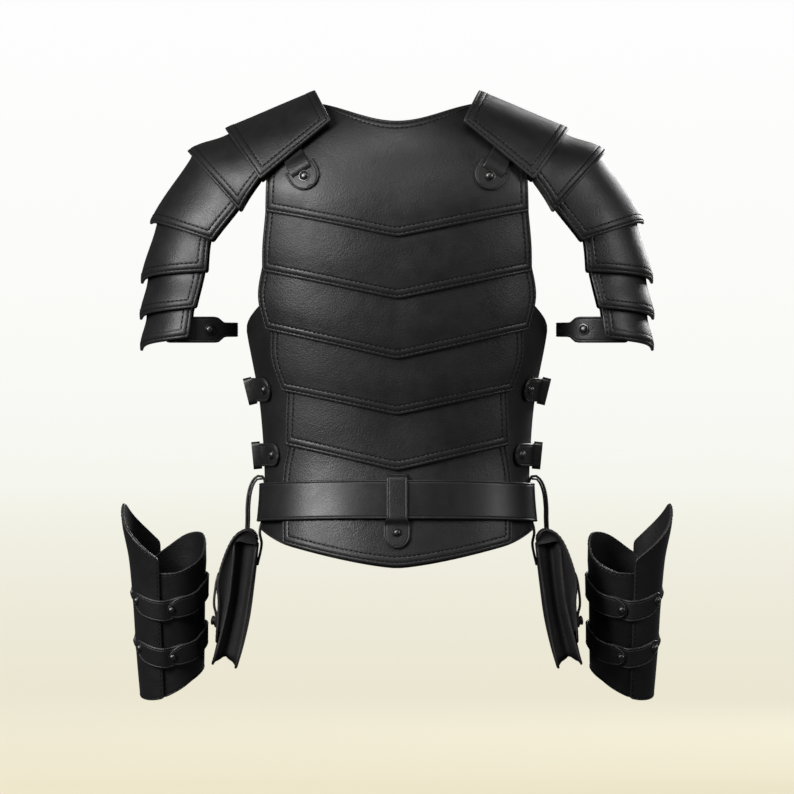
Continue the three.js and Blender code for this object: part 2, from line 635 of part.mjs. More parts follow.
function bracerStrap({ at, half }) {
  const [start, end] = BRACER_STRAP_REACH;
  const edge = BRACER_SHELL.reach;
  const onShell = steps(BRACER_STRIPS).map((share) => mix(-edge, edge, share));
  const onTongue = steps(9).map((share) => mix(edge + 17, 360 - edge - 17, share));
  const before = onShell.filter((degrees) => degrees > start + 10);
  const after = onShell.map((degrees) => degrees + 360).filter((degrees) => degrees < end - 8);
  const along = [start, start + 5, ...before, edge + 3, ...onTongue, 360 - edge - 3, ...after, end - 5, end];
  const place = (degrees, v, offset) => {
    const width = roundEnd(1, Math.min(degrees - start, end - degrees) / 16);
    return bracerPoint(degrees, at - strapRise(degrees) + half * width * (2 * v - 1), offset);
  };
  const low = (degrees) => {
    const inward = 180 - edge - 3 - Math.abs(180 - degrees);
    return mix(GAP * 1.2, GAP * 0.6 - LAME_THICK, ease(inward / 14));
  };
  const rivets = BRACER_RIVETS.map((degrees) => {
    const middle = at - strapRise(degrees);
    const seat = bracerPoint(degrees, middle, low(degrees) + STRAP_THICK);
    return rivet(seat, seat.clone().sub(bracerPoint(degrees, middle, 0)).normalize());
  });
  return joined(laid(along, [0, 1], place, low, STRAP_THICK), ...rivets);
}

// ---------------------------------------------------------------- pouches
// Pouch frame: x is out from the hip, y the width, z up, then leaned and hung at the belt's side.
function hung(geometry) {
  return geometry.rotateY(-radians(POUCH.lean)).rotateZ(Math.PI).translate(POUCH.top[0], 0, POUCH.top[1]);
}

function extruded(points, depth) {
  const shape = new THREE.Shape(points.map(([a, b]) => new THREE.Vector2(a, b)));
  return new THREE.ExtrudeGeometry(shape, { depth, bevelEnabled: false }).translate(0, 0, -depth / 2);
}

// The pouch as seen from its side, from above and from the front, each swept right through.
function pouchForm(inset, raise) {
  const { high, wide, deep, fold } = POUCH;
  const i = inset;
  const side = [[i, raise], [deep - i, raise], [deep - i, -high + i * 1.6], [deep - i - 1, -high + i * 1.6],
    [deep / 2, -high + fold + i], [i + 1, -high + i * 1.6], [i, -high + i * 1.6]];
  const half = wide / 2;
  const plan = [[i, -half + i], [deep / 2, -half + fold + i], [deep - i, -half + i],
    [deep - i, half - i], [deep / 2, half - fold - i], [i, half - i]];
  const corner = 12;
  const cut = corner * 0.3;
  const left = [[-half, raise], [-half, -high + corner], [-half + cut, -high + cut], [-half + corner, -high]];
  const face = [...left, ...left.map(([x, y]) => [-x, y]).reverse()];
  const bySide = extruded(side, wide + 2).rotateX(Math.PI / 2);
  const byPlan = extruded(plan, 2 * high + 40);
  const byFace = extruded(face, 2 * deep + 2)
    .rotateX(Math.PI / 2)
    .rotateZ(Math.PI / 2)
    .translate(deep / 2, 0, 0);
  return solidOf(bySide).intersect(solidOf(byPlan)).intersect(solidOf(byFace));
}

const pouchBody = () => hung(fromSolid(pouchForm(0, 0).subtract(pouchForm(POUCH.wall, 30))));

// A band seen from the side, as a list of [out, up] points down its middle, swept across its width.
function band(points, thick, width) {
  const places = points.map(([a, b]) => new THREE.Vector3(a, b, 0));
  const curve = new THREE.CatmullRomCurve3(places, false, "centripetal");
  const middle = curve.getPoints(points.length * 2);
  const offset = (sign) => middle.map((p, i) => {
    const t = middle[Math.min(i + 1, middle.length - 1)].clone().sub(middle[Math.max(i - 1, 0)]).normalize();
    return [p.x - sign * t.y * (thick / 2), p.y + sign * t.x * (thick / 2)];
  });
  return joined(extruded([...offset(1), ...offset(-1).reverse()], width).rotateX(Math.PI / 2));
}

const flapLine = () => [...FLAP_BEHIND, ...FLAP_BEYOND.map(([out, up]) => [POUCH.deep + out, up])];

// The flap with its two cheeks, which close the gap between it and the pouch's sides.
function pouchFlap() {
  const { deep, wide } = POUCH;
  const sheet = solidOf(band(flapLine(), FLAP_THICK, wide + 2));
  const inside = CHEEK_INSIDE.map(([out, up]) => [deep + out, up]);
  const outline = [...flapLine(), ...inside, [1.6, 1.3]];
  const cheekAt = (y) => solidOf(extruded(outline, CHEEK_THICK).rotateX(Math.PI / 2).translate(0, y, 0));
  const cheekPlace = wide / 2 - 1.2;
  return hung(fromSolid(sheet.add(cheekAt(-cheekPlace)).add(cheekAt(cheekPlace))));
}

function pouchStrap() {
  const { deep } = POUCH;
  const stud = new THREE.CylinderGeometry(STUD.radius, STUD.radius, STUD.thick, 12)
    .rotateZ(Math.PI / 2)
    .translate(deep + STUD.out, STUD.up, 0)
    .rotateX(Math.PI / 2);
  const strap = band(CLOSING_LINE.map(([out, up]) => [deep + out, up]), CLOSING.thick, CLOSING.wide);
  return hung(joined(strap, stud));
}

// The hanger goes round the belt in the side opening and down behind the pouch.
function pouchHanger() {
  const inner = -(halfWidth(BELT.top) + HANGER.inside);
  return band(HANGER_LINE.map(([out, z]) => [inner + out, z]), HANGER.thick, HANGER.wide);
}

// ---------------------------------------------------------------- the armour
const armour = new THREE.Group();
const LEATHER = { color: 0x17171a, roughness: 0.48, metalness: 0 };
const HARDWARE = { color: 0x26262a, roughness: 0.35, metalness: 1 };

function add(name, geometry, finish = LEATHER) {
  geometry.computeVertexNormals();
  const mesh = new THREE.Mesh(geometry, new THREE.MeshStandardMaterial(finish));
  mesh.name = name;
  armour.add(mesh);
}

function addPair(name, geometry, finish = LEATHER) {
  add("left_" + name, geometry, finish);
  add("right_" + name, mirrored(geometry), finish);
}

for (const side of ["back", "front"]) {
  add(side + "_panel", panelSheet(side));
  add(side + "_yoke", lameSheet(side, 0));
  for (let i = 1; i < LAMES.length; i++) add(side + "_lame_" + (i + 1), lameSheet(side, i));
  add(side + "_tail", tailSheet(side));
  addPair("shoulder_tab_" + side, shoulderTab(side));
}
for (const strap of SIDE_STRAPS) {
  addPair("side_strap_" + strap.name, sideStrap(strap));
  addPair("side_buckle_" + strap.name, sideBuckle(strap), HARDWARE);
}
add("belt", beltRing());
add("belt_buckle", frontBuckle(), HARDWARE);
add("belt_loop_back", backLoop());
for (let i = 0; i < 6; i++) addPair("shoulder_lame_" + (i + 1), guardLame(i));
addPair("arm_strap", armStrap());
addPair("bracer_shell", bracerShell());
addPair("bracer_tongue", bracerTongue());
for (const strap of BRACER_STRAPS) addPair("bracer_strap_" + strap.name, bracerStrap(strap));
addPair("pouch_body", pouchBody());
addPair("pouch_flap", pouchFlap());
addPair("pouch_strap", pouchStrap());
addPair("pouch_hanger", pouchHanger());

export default armour;
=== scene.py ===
"""Lamellar leather armour: the looks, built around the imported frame."""

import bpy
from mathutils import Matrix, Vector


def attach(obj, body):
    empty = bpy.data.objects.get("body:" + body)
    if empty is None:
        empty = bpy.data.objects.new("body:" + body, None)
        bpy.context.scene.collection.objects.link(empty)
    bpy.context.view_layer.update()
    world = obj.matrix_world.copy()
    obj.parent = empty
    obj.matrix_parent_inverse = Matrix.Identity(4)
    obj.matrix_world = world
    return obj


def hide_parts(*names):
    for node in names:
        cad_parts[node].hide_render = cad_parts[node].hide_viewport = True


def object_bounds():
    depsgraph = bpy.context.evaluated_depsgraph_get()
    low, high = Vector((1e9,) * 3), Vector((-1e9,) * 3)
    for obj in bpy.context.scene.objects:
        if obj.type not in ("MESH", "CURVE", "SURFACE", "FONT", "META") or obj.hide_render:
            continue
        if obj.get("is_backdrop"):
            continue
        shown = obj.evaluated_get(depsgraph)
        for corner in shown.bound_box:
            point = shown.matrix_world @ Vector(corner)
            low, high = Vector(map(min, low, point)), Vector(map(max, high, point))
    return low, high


bl_info = {
    "name": "Lamellar Leather Armour",
    "version": (1, 0, 0),
    "blender": (4, 5, 0),
    "location": "View3D > Sidebar > Armour",
    "description": "Builds a worn set of lamellar leather armour on its packed frame",
    "category": "Add Mesh",
}

import math

import bpy
import numpy as np
from mathutils import Matrix, Vector

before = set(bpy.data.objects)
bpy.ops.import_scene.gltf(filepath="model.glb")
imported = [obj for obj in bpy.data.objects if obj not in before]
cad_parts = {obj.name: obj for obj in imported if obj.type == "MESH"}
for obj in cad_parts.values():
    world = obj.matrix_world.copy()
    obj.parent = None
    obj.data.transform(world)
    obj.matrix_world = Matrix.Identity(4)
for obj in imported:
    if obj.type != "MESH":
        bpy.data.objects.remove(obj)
CAD_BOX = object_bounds()
MM = 0.001  # the cut is written in millimetres, the meshes are in metres

# ---------------------------------------------------------------- the cut, in millimetres
BASE_THICK = 2.5  # under panels that carry the lames
LAME_THICK = 3.2
STRAP_THICK = 2.6
BELT_THICK = 3.4
GAP = 0.7  # between layers that lie on each other
SEAM = 0.4
TIE_THICK = 2.4  # shoulder patches, tongues and flaps
FORM_POWER = 2.3  # roundness of the trunk's section: 2 is an ellipse

# Half width and half depths of the trunk under the leather, each as (height, size).
TRUNK_WIDTH = (
    (40, 205), (-60, 194), (-140, 177), (-246, 169),
    (-330, 153.5), (-400, 148), (-440, 148.5), (-514, 157),
)
BACK_DEPTH = (
    (40, 104), (-60, 110), (-140, 115), (-246, 106),
    (-330, 94), (-385, 90), (-440, 97), (-514, 110),
)
FRONT_DEPTH = (
    (40, 88), (-60, 100), (-140, 115), (-246, 111),
    (-330, 102), (-385, 98), (-440, 101), (-514, 107),
)
SHOULDER_BEND = -110  # the trunk starts to roll over into the shoulders here
NECK_SIDE = 88  # where the neckline meets the shoulder seam
RIDGE = 3
SHOULDER_SLOPE = 0.42
NECK_RISE = 25

OVERLAP = 22  # how far a lame reaches up under the one above it
HIDDEN = OVERLAP - 4  # of that, the length without stitches
TIP_SOFT = 4  # radius that softens a chevron's tip
YOKE_HALF = 141.5
# Chevron lames from the yoke down: tip height, side height, half widths from top to bottom.
LAMES = (
    (-142.4, -113, (141.5, 141.5, 141.5)),
    (-211, -180, (143, 144, 144)),
    (-278, -245, (144, 149, 141)),
    (-341, -313, (137, 136, 123.5)),
    (-405.7, -375, (120.5, 119.5, 119.5)),
)
TAIL = {"half": 124.5, "head": 117, "short": 1.5}  # its head is narrower, under the lowest lame
HEM = {"low": -514, "rise": 24, "at": 120, "corner": 118, "corner_wide": 38, "corner_rise": 11}
# The under panel: where its lames start and end down it, and how its sides widen below the arm.
PANEL = {
    "yoke": 0.3, "tail": 0.72, "tucked": 3, "widen_from": -192, "widen_over": 62, "edge": 84,
    "inside": 0.9955,
}
NECKLINE = {"back": -16, "front": -40}
INNER = 100  # columns nearer the middle than this stay upright
LOWEST = BASE_THICK + 1.8
RISE = LAME_THICK + GAP + 0.2
RISE_FROM, RISE_OVER = 53, 52  # past its overlap a lame comes out from this height, over this length

BELT_TIP = (174, 240)  # the free end lies over the belt from the buckle, in degrees
BELT_KEEPER = (208, 214)
# The belt stands proud in front and behind, and lies closer past turn_from degrees.
BELT = {
    "top": -416.5, "bottom": -460.5, "proud": 9.4, "side": 4.6, "droop": 3, "turn_from": 62,
    "turn_over": 26,
}
LOOP = {"half": 11.4, "tab": 14.5, "top": -409, "bottom": -493, "rivet": -476}
LOOP_LOW = LOWEST + LAME_THICK + GAP + 0.3
SIDE_LOW = BASE_THICK + 1.4
SIDE_DEGREE = 2.4  # length of one degree of the trunk at its side
# The side straps: height, where they start in degrees, half width.
SIDE_STRAPS = (("upper", -313, 61, 13.5), ("lower", -387, 58.4, 13))
# Buckle frames: width and height, width and height of the window, thickness, radius of the prong.
SIDE_BUCKLE = (28, 31, 14, 18.6, 9.4, 1.6)
BELT_BUCKLE = (46, 58, 30, 46, 5, 2.2)
SIDE_BUCKLE_SUNK = -1.3

# Stations of the left shoulder guard: ridge x and z, corner x and z, spread, half depth.
STATIONS = (
    (-92.7, 24.9, -74.6, -11.3, 70, 101),
    (-194.4, -18.1, -153.7, -78, 75, 105),
    (-237.3, -44.1, -177.4, -113, 80, 86),
    (-278.5, -122, -207.9, -146.9, 85, 74),
    (-289, -184, -213.8, -181, 89, 67),
    (-290.5, -227, -227.1, -221.4, 89, 69),
    (-290, -261, -233.9, -255.4, 89, 66),
)
DIPS = (0, 0, 0.08, 0.26, 0.26, 0.3)
TUCK = (0, 0.3, 0.3, 0.26, 0.34, 0.4)
ARM_STRAP = {
    "x": -234, "z": -246, "radius": 51.8, "reach": 118, "tab": 14.5, "narrow": 8, "widen_from": 42,
    "widen_over": 14, "rivet": -64,
}
SHOULDER_TAB = {
    "x": -100.5, "z": -76.5, "lean": 31.5, "half": 17, "strap": 11.5, "up": 40, "top": 12, "end": 15,
}
SHOULDER_TAB_RIVET = (2.4, 1)  # its seat over the patch, and how far down the patch it sits

BRACER_TOP = np.array((-261.0, -4.0, -444.0))
BRACER_FOOT = np.array((-256.0, 50.0, -660.0))
BRACER_RADIUS = ((0, 51), (0.1, 50), (0.28, 43.5), (0.5, 40.5), (0.75, 38.5), (1, 35.5))
BRACER_BULGE = 5
BRACER_SHELL = {"reach": 78, "rim": 0.28, "peak": 14, "foot": 0.025}
TONGUE_REACH = 114
# Upper and lower edges of the tongue, as (direction in degrees, share down the bracer).
TONGUE_TOP = (
    (66, 0.31), (90, 0.26), (124, 0.19), (158, 0.168), (180, 0.195), (201, 0.245), (222, 0.276),
    (237, 0.292), (254, 0.309), (294, 0.312),
)
TONGUE_FOOT = (
    (66, 0.97), (95, 0.93), (138, 0.88), (180, 0.86), (222, 0.89), (245, 0.926), (265, 0.955),
    (280, 0.972), (294, 0.978),
)
BRACER_STRAPS = (("upper", 0.507, 0.056), ("lower", 0.758, 0.054))
BRACER_STRAP_REACH = (14, 333)
LAP = (228, 271)  # where the two halves of a bracer strap lie on each other, in degrees
LAP_RISE = STRAP_THICK + 0.4
# How far a strap's middle rises over its place, by direction round the arm.
STRAP_RISE = (
    (14, 0.03), (38, 0.035), (124, 0.06), (180, 0.084), (234, 0.028), (250, 0.018), (276, 0),
    (312, 0.02), (333, 0.052),
)

# Front and back of a pouch's sides, as (height, distance out). The front's is from its depth.
POUCH_FRONT = ((0, 2.3), (-8, 1.6), (-44, -1.6), (-72, -2.6), (-116, 0.4), (-143, 3.6))
POUCH_BACK = ((0, 0.2), (-43, -0.9), (-85, -1.6), (-120, -0.8), (-143, 1))
POUCH = {"high": 143, "wide": 114, "deep": 23, "wall": 2.2, "lean": 9.5, "top": (-156.5, -487)}

# The flap and its closing strap seen from the side. Past the pouch's top, out is from its depth.
FLAP_BEHIND = ((1.6, 2.5), (4.5, 8.5), (9, 12.4), (13, 13.4))
FLAP_BEYOND = (
    (-5.5, 12), (2.5, 5.5), (8.2, -7), (12.4, -28), (13.9, -46), (13.2, -57), (10.6, -66), (8.9, -75),
    (7.8, -86), (6.4, -101), (4.6, -118),
)
CLOSING_LINE = (
    (15.4, -40), (16.5, -50), (16.3, -61), (15.8, -71), (14.3, -79), (11.4, -85.5), (10, -92), (9.2, -102),
)
# The inner edge of the flap's cheeks, and the line of the hanger, from the trunk's side.
CHEEK_LINE = ((1.6, -2), (0.2, -18), (-1.2, -42), (-2, -72), (0, -108))
HANGER_LINE = (
    (-9, -512), (-4.1, -488), (-6.2, -476), (-4.8, -466), (-0.4, -454), (0, -440), (0, -420), (-3, -412),
    (-9, -411.5), (-15, -418), (-19, -430), (-20.8, -446), (-20.9, -458), (-21.4, -470.8),
)
STUD = {"out": 10.4, "up": -94.5}

SIDES = ("back", "front")
HANDS = ("left", "right")
MIRROR = np.array((-1, 1, 1))  # the right hand's pieces are the left's, turned over


# ---------------------------------------------------------------- curves and the trunk's form
def mix(a, b, share):
    return a + (b - a) * share


def ease(share):
    share = np.clip(share, 0, 1)
    return share * share * (3 - 2 * share)


def track(pairs):
    """A smooth curve through (place, value) pairs, straight beyond its ends."""
    at, value = (np.array(row, float) for row in zip(*sorted(pairs)))
    last = len(at) - 1
    before, after = np.maximum(np.arange(last + 1) - 1, 0), np.minimum(np.arange(last + 1) + 1, last)
    slope = (value[after] - value[before]) / (at[after] - at[before])

    def curve(x):
        x = np.asarray(x, float)
        i = np.clip(np.searchsorted(at, x, side="right") - 1, 0, last - 1)
        span = at[i + 1] - at[i]
        s = (x - at[i]) / span
        bend = span * s * (1 - s) * ((1 - s) * slope[i] - s * slope[i + 1])
        inside = mix(value[i], value[i + 1], s * s * (3 - 2 * s)) + bend
        low, high = value[0] + slope[0] * (x - at[0]), value[-1] + slope[-1] * (x - at[-1])
        return np.where(x < at[0], low, np.where(x > at[-1], high, inside))

    return curve


half_width = track(TRUNK_WIDTH)
half_depth = {"back": track(BACK_DEPTH), "front": track(FRONT_DEPTH)}


def shoulder_ridge(x):
    across = np.abs(x)
    out = RIDGE - SHOULDER_SLOPE * (across - NECK_SIDE)
    return np.where(across >= NECK_SIDE, out, RIDGE + NECK_RISE * (1 - (across / NECK_SIDE) ** 2))


def depth_power(x, z, side):
    """Depth of the trunk at (x, z), to the power of its section, before the root is taken."""
    roll = np.clip((z - SHOULDER_BEND) / (shoulder_ridge(x) - SHOULDER_BEND), 0, 1)
    across = np.minimum(1, np.abs(x) / half_width(z))
    return half_depth[side](z) ** FORM_POWER * (1 - across**FORM_POWER) * (1 - roll**FORM_POWER)


def unit(v):
    return v / np.maximum(np.linalg.norm(v, axis=-1, keepdims=True), 1e-12)


def trunk_normal(x, y, z, side):
    h = 0.02
    slope_x = (depth_power(x + h, z, side) - depth_power(x - h, z, side)) / (2 * h)
    slope_z = (depth_power(x, z + h, side) - depth_power(x, z - h, side)) / (2 * h)
    slope_y = FORM_POWER * np.abs(y) ** (FORM_POWER - 1) * np.sign(y)
    return unit(np.stack([-slope_x, slope_y, -slope_z], -1))


def trunk_point(x, z, offset, side):
    """The point of the trunk at (x, z), moved out by offset."""
    sign = -1 if side == "back" else 1
    y = sign * np.maximum(depth_power(x, z, side), 1e-6) ** (1 / FORM_POWER)
    point = np.stack([x, y, z], -1) + trunk_normal(x, y, z, side) * np.asarray(offset)[..., None]
    return point + np.array((0, sign * SEAM / 2, 0))


def girdle_point(degrees, z, offset):
    """The point of the trunk in a direction: 0 is the middle of the back, 90 the wearer's right."""
    c, s = np.cos(np.radians(degrees)), np.sin(np.radians(degrees))
    x = half_width(z) * np.sign(s) * np.abs(s) ** (2 / FORM_POWER) * 0.99999
    power = np.where(c > 0, depth_power(x, z, "back"), depth_power(x, z, "front"))
    y = -np.sign(c) * np.maximum(power, 1e-6) ** (1 / FORM_POWER)
    normal = np.where((c > 0)[..., None], trunk_normal(x, y, z, "back"), trunk_normal(x, y, z, "front"))
    return np.stack([x, y, z], -1) + normal * np.asarray(offset)[..., None]


def to_bend(x, z):
    """Height on the trunk as a bend that is even over the rolled shoulder."""
    share = (z - SHOULDER_BEND) / (shoulder_ridge(x) - SHOULDER_BEND)
    return np.where(share > 0, np.arcsin(np.clip(share, 0, 1)), share)


def from_bend(x, bend):
    share = np.where(bend > 0, np.sin(np.clip(bend, 0, np.pi / 2)), bend)
    return SHOULDER_BEND + (shoulder_ridge(x) - SHOULDER_BEND) * share


def chevron(index):
    tip, side, halves = LAMES[index]
    return lambda x: mix(tip, side, (np.hypot(x, TIP_SOFT) - TIP_SOFT * 0.6) / halves[2])


def hem(x):
    across = np.abs(x)
    corner = np.maximum(0, across - HEM["corner"]) / HEM["corner_wide"]
    return HEM["low"] + HEM["rise"] * (across / HEM["at"]) ** 1.4 + HEM["corner_rise"] * corner**2


def top_line(side):
    """The upper edge of the yoke: an oval neckline that runs up to the shoulder seam."""

    def line(x):
        across = np.minimum(np.abs(x) / NECK_SIDE, 1)
        low = np.cos(to_bend(np.zeros_like(across), NECKLINE[side]))
        rolled = from_bend(x, np.arccos(np.clip(low * np.sqrt(1 - across**2), -1, 1)))
        return np.where(np.abs(x) >= NECK_SIDE, shoulder_ridge(x) - 0.05, rolled)

    return line


def between(upper, lower, share, x):
    return from_bend(x, mix(to_bend(x, upper(x)), to_bend(x, lower(x)), share))


def lifted(line, height):
    return lambda x: line(x) + height


# ---------------------------------------------------------------- laying leather on a form
CREASE_AT = 3.6  # from the edge to the tooled crease, which holds the outer stitch row
ROW_AT = 10.2  # from the edge to the inner stitch row
BOTH_ROWS = (CREASE_AT, ROW_AT)
STRAP_CREASE = 2.6
# Where the points of a finished edge lie, by the number of rows that it carries.
BORDERS = (
    (0, 0.16, 0.5, 1.1, 2.0),
    (0, 0.16, 0.5, 1.1, 1.7, 2.2, STRAP_CREASE, 3.0, 3.5, 4.4),
    (0, 0.16, 0.5, 1.1, 1.9, 2.7, 3.15, CREASE_AT, 4.05, 4.6, 6.2, 8, 9.3, 9.8, ROW_AT, 10.6, 11.2, 13),
)
BASE_COLUMNS, BASE_ROWS = 161, 97  # the base grid on which a form's lengths are measured


def border_profile(distance, rows, round_by):
    """Height of the face over the flat leather, by the distance from a finished edge."""
    inside = np.clip(1 - distance / round_by, 0, 1)
    height = -round_by * (1 - np.sqrt(1 - inside**2))
    for at in rows:
        outer = at < ROW_AT - 1
        wide, deep = (0.42, 0.5) if outer else (0.5, 0.32)
        height = height - deep * np.exp(-(((distance - at) / wide) ** 2))
    if len(rows) > 1:
        height = height + 0.45 * np.exp(-(((distance - np.mean(rows)) / 2.3) ** 2))
    if rows:
        height = height + 0.22 * np.exp(-(((distance - rows[0] * 0.45) / 0.9) ** 2))
    return height


def stops(length, first, last, cell, cluster):
    """Places along a side as (share of its length, millimetres), dense at its finished edges."""
    room = length / 2 * 0.96
    first, last = ([d for d in edge if d < room] for edge in (first, last))
    start, end = first[-1], last[-1]
    count = max(2, round((length - start - end) / cell))
    inner = [(s, start * (1 - s) - end * s) for s in np.linspace(0, 1, count + 1)[1:-1]]
    if cluster:
        inner = [p for p in inner if abs(p[0] * length + p[1] - length / 2) > cluster * 1.4 + cell * 0.9]
        inner += [(0.5, offset * cluster) for offset in (-1.3, -0.75, -0.35, 0, 0.35, 0.75, 1.3)]
        inner.sort(key=lambda p: p[0] * length + p[1])
    places = [(0, d) for d in first] + inner + [(1, -d) for d in reversed(last)]
    return np.array([p[0] for p in places], float), np.array([p[1] for p in places], float)


class Hide:
    """A piece of leather on a form. lay(u, v, offset) gives points of the form, u across and v down."""

    def __init__(
        self, lay, thick, low=0, edges="ludr", rows=(STRAP_CREASE,), cell=6, cluster=0, ring=False,
        corner=0, wave=0,
    ):
        self.lay, self.thick, self.rows, self.ring = lay, thick, rows, ring
        self.low = low if callable(low) else (lambda u, v: low + 0 * u)
        self.round = min(1.1, thick * 0.42)
        self.measure()
        finished = {key: key in edges for key in "ludr"}
        ends = {key: BORDERS[len(rows) if finished[key] else 0] for key in "ludr"}
        wide, high = self.size
        if ring:
            count = round(wide / cell)
            share, offset = np.arange(count) / count, np.zeros(count)
        else:
            share, offset = stops(wide, ends["l"], ends["r"], cell, cluster)
        down, down_offset = stops(high, ends["u"], ends["d"], cell, 0)
        self.solve(share, offset, down, down_offset)
        self.from_edges(share * wide + offset, down * high + down_offset, finished, corner)
        self.shape(wave)

    def measure(self):
        """Lengths along the form from its left and upper edges, on a base grid."""
        self.base_u, self.base_v = np.linspace(0, 1, BASE_COLUMNS), np.linspace(0, 1, BASE_ROWS)
        u, v = np.meshgrid(self.base_u, self.base_v, indexing="ij")
        points = self.lay(u, v, self.low(u, v) + self.thick)
        across = np.linalg.norm(np.diff(points, axis=0), axis=-1)
        along = np.linalg.norm(np.diff(points, axis=1), axis=-1)
        self.run_u = np.vstack([np.zeros((1, BASE_ROWS)), np.cumsum(across, 0)])
        self.run_v = np.hstack([np.zeros((BASE_COLUMNS, 1)), np.cumsum(along, 1)])
        self.size = float(self.run_u[-1].max()), float(self.run_v[:, -1].max())
        sides = np.cross(points[1:, 1:] - points[:-1, :-1], points[1:, :-1] - points[:-1, 1:])
        self.area = float(np.linalg.norm(sides, axis=-1).sum() / 2)

    def solve(self, share, offset, down, down_offset):
        """Parameters of every grid point, so that the edge rows lie at their true distances."""

        def places(run, shares, offsets, base):
            """The parameters along one line of the base grid."""
            fit = min(1, run[-1] / (2.2 * max(np.abs(offsets).max(), 1)))
            return np.interp(shares * run[-1] + offsets * fit, run, base)

        columns = np.stack([places(run, share, offset, self.base_u) for run in self.run_u.T], 1)
        lines = np.stack([places(run, down, down_offset, self.base_v) for run in self.run_v])
        self.u = np.repeat(columns[:, BASE_ROWS // 2][:, None], len(down), 1)
        self.v = np.repeat(lines[BASE_COLUMNS // 2][None], len(share), 0)
        for _ in range(4):
            for i in range(len(share)):
                self.u[i] = np.interp(self.v[i], self.base_v, columns[i])
            for j in range(len(down)):
                self.v[:, j] = np.interp(self.u[:, j], self.base_u, lines[:, j])

    def from_edges(self, across, along, finished, corner):
        """Distance of every grid point from the nearest finished edge."""
        far = 1e3
        wide, high = self.size
        sides = not self.ring
        left = np.where(finished["l"] and sides, across, far)
        right = np.where(finished["r"] and sides, wide - across, far)
        up, down = np.where(finished["u"], along, far), np.where(finished["d"], high - along, far)
        self.edge = np.minimum(np.minimum(left, right)[:, None], np.minimum(up, down)[None])
        self.free = np.minimum(along, high - along)[None] + 0 * self.edge
        if not self.ring:
            self.free = np.minimum(self.free, np.minimum(across, wide - across)[:, None])
        if corner:
            self.round_corners(across, along, corner)

    def round_corners(self, across, along, corner):
        """Pulls the grid in round each corner, so that the cut has round corners."""
        wide, high = self.size
        from_side = np.minimum(across, wide - across)[:, None] + 0 * self.u
        from_end = np.minimum(along, high - along)[None] + 0 * self.u
        p, q = np.clip(corner - from_side, 0, None), np.clip(corner - from_end, 0, None)
        pull = 1 - np.maximum(p, q) / np.maximum(np.hypot(p, q), 1e-9)
        toward_right = np.where(across < wide / 2, 1, -1)[:, None]
        toward_end = np.where(along < high / 2, 1, -1)[None]
        self.u = self.u + toward_right * p * pull / wide
        self.v = self.v + toward_end * q * pull / high

    def shape(self, wave):
        low = self.low(self.u, self.v)
        flat = self.lay(self.u, self.v, low + self.thick)
        sway = wave * swell(flat)
        top = border_profile(self.edge, self.rows, self.round)
        plain = border_profile(self.free, (), self.round)
        top = np.minimum(top, np.where(self.free < self.round, plain, top))
        self.outer = self.lay(self.u, self.v, low + self.thick + top + sway)
        self.inner = self.lay(self.u, self.v, low - plain * 0.6 + sway)
        normal = np.cross(np.gradient(self.outer, axis=0), np.gradient(self.outer, axis=1))
        facing = np.sign((normal * (self.outer - self.inner)).sum(-1, keepdims=True))
        self.normal = unit(normal * facing)

    def on(self, hand):
        """The piece as it is for the left, or its mirror image for the right."""
        if hand == "left":
            return self
        other = object.__new__(Hide)
        other.__dict__ = dict(self.__dict__)
        other.outer, other.inner = self.outer * MIRROR, self.inner * MIRROR
        other.normal = self.normal * MIRROR
        return other

    def build(self, name, material):
        """Makes the closed mesh: the face, the flesh side and the edges between them."""
        columns, rows = self.outer.shape[:2]
        count = columns * rows
        points = np.concatenate([self.outer.reshape(-1, 3), self.inner.reshape(-1, 3)]) * MM
        index = np.arange(count).reshape(columns, rows)
        if self.ring:
            index = np.vstack([index, index[:1]])
        face = np.stack([index[:-1, :-1], index[:-1, 1:], index[1:, 1:], index[1:, :-1]], -1).reshape(-1, 4)
        walls = [(index[:, 0], 1), (index[:, -1], -1)]
        if not self.ring:
            walls += [(index[0], -1), (index[-1], 1)]
        faces = [face, face[:, ::-1] + count]
        for line, turn in walls:
            wall = np.stack([line[:-1], line[1:], line[1:] + count, line[:-1] + count], -1)
            faces.append(wall[:, ::turn])
        faces = np.concatenate(faces)
        a, b, c, d = (points[faces[:, k]] for k in range(4))
        inside_out = (a * np.cross(b, c)).sum() + (a * np.cross(c, d)).sum() < 0
        mesh = bpy.data.meshes.new(name)
        mesh.from_pydata(points.tolist(), [], (faces[:, ::-1] if inside_out else faces).tolist())
        mesh.shade_smooth()
        worn = np.exp(-np.maximum(self.free, 0) / 0.7)
        # seam marks the crease groove along the outer stitch row, which the leather finish darkens as painted
        # shade
        deep = np.exp(-(((self.edge - self.rows[0]) / 0.6) ** 2)) if self.rows else 0 * worn
        for key, values in (("rim", (worn, worn)), ("seam", (deep, 0 * deep))):
            data = mesh.attributes.new(key, "FLOAT", "POINT").data
            data.foreach_set("value", np.concatenate(values).ravel().astype(np.float32))
        return linked(name, mesh, material)

    def runs(self, distance, hidden=0):
        """The lines at a distance from the finished edges, as lists of points and normals."""
        near = np.isclose(self.edge, distance, atol=1e-6)
        shown = near & (self.v * self.size[1] >= hidden)
        for axis, end, half in ((0, 0, -1), (1, -1, 1), (0, -1, 1), (1, 0, -1)):
            full = np.flatnonzero(near.sum(1 - axis) > 2)
            if not len(full) or (full[end] - near.shape[axis] / 2) * half <= 0:
                continue
            along = np.flatnonzero(shown.take(full[end], axis))
            if len(along) > 2:
                along = along[::-1] if (axis, end) == (0, -1) else along
                line = (full[end], along) if axis == 0 else (along, full[end])
                yield self.outer[line], self.normal[line]


def linked(name, data, material=None):
    """A new object in the scene that shows the data."""
    piece = bpy.data.objects.new(name, data)
    bpy.context.scene.collection.objects.link(piece)
    if material:
        data.materials.append(material)
    return piece


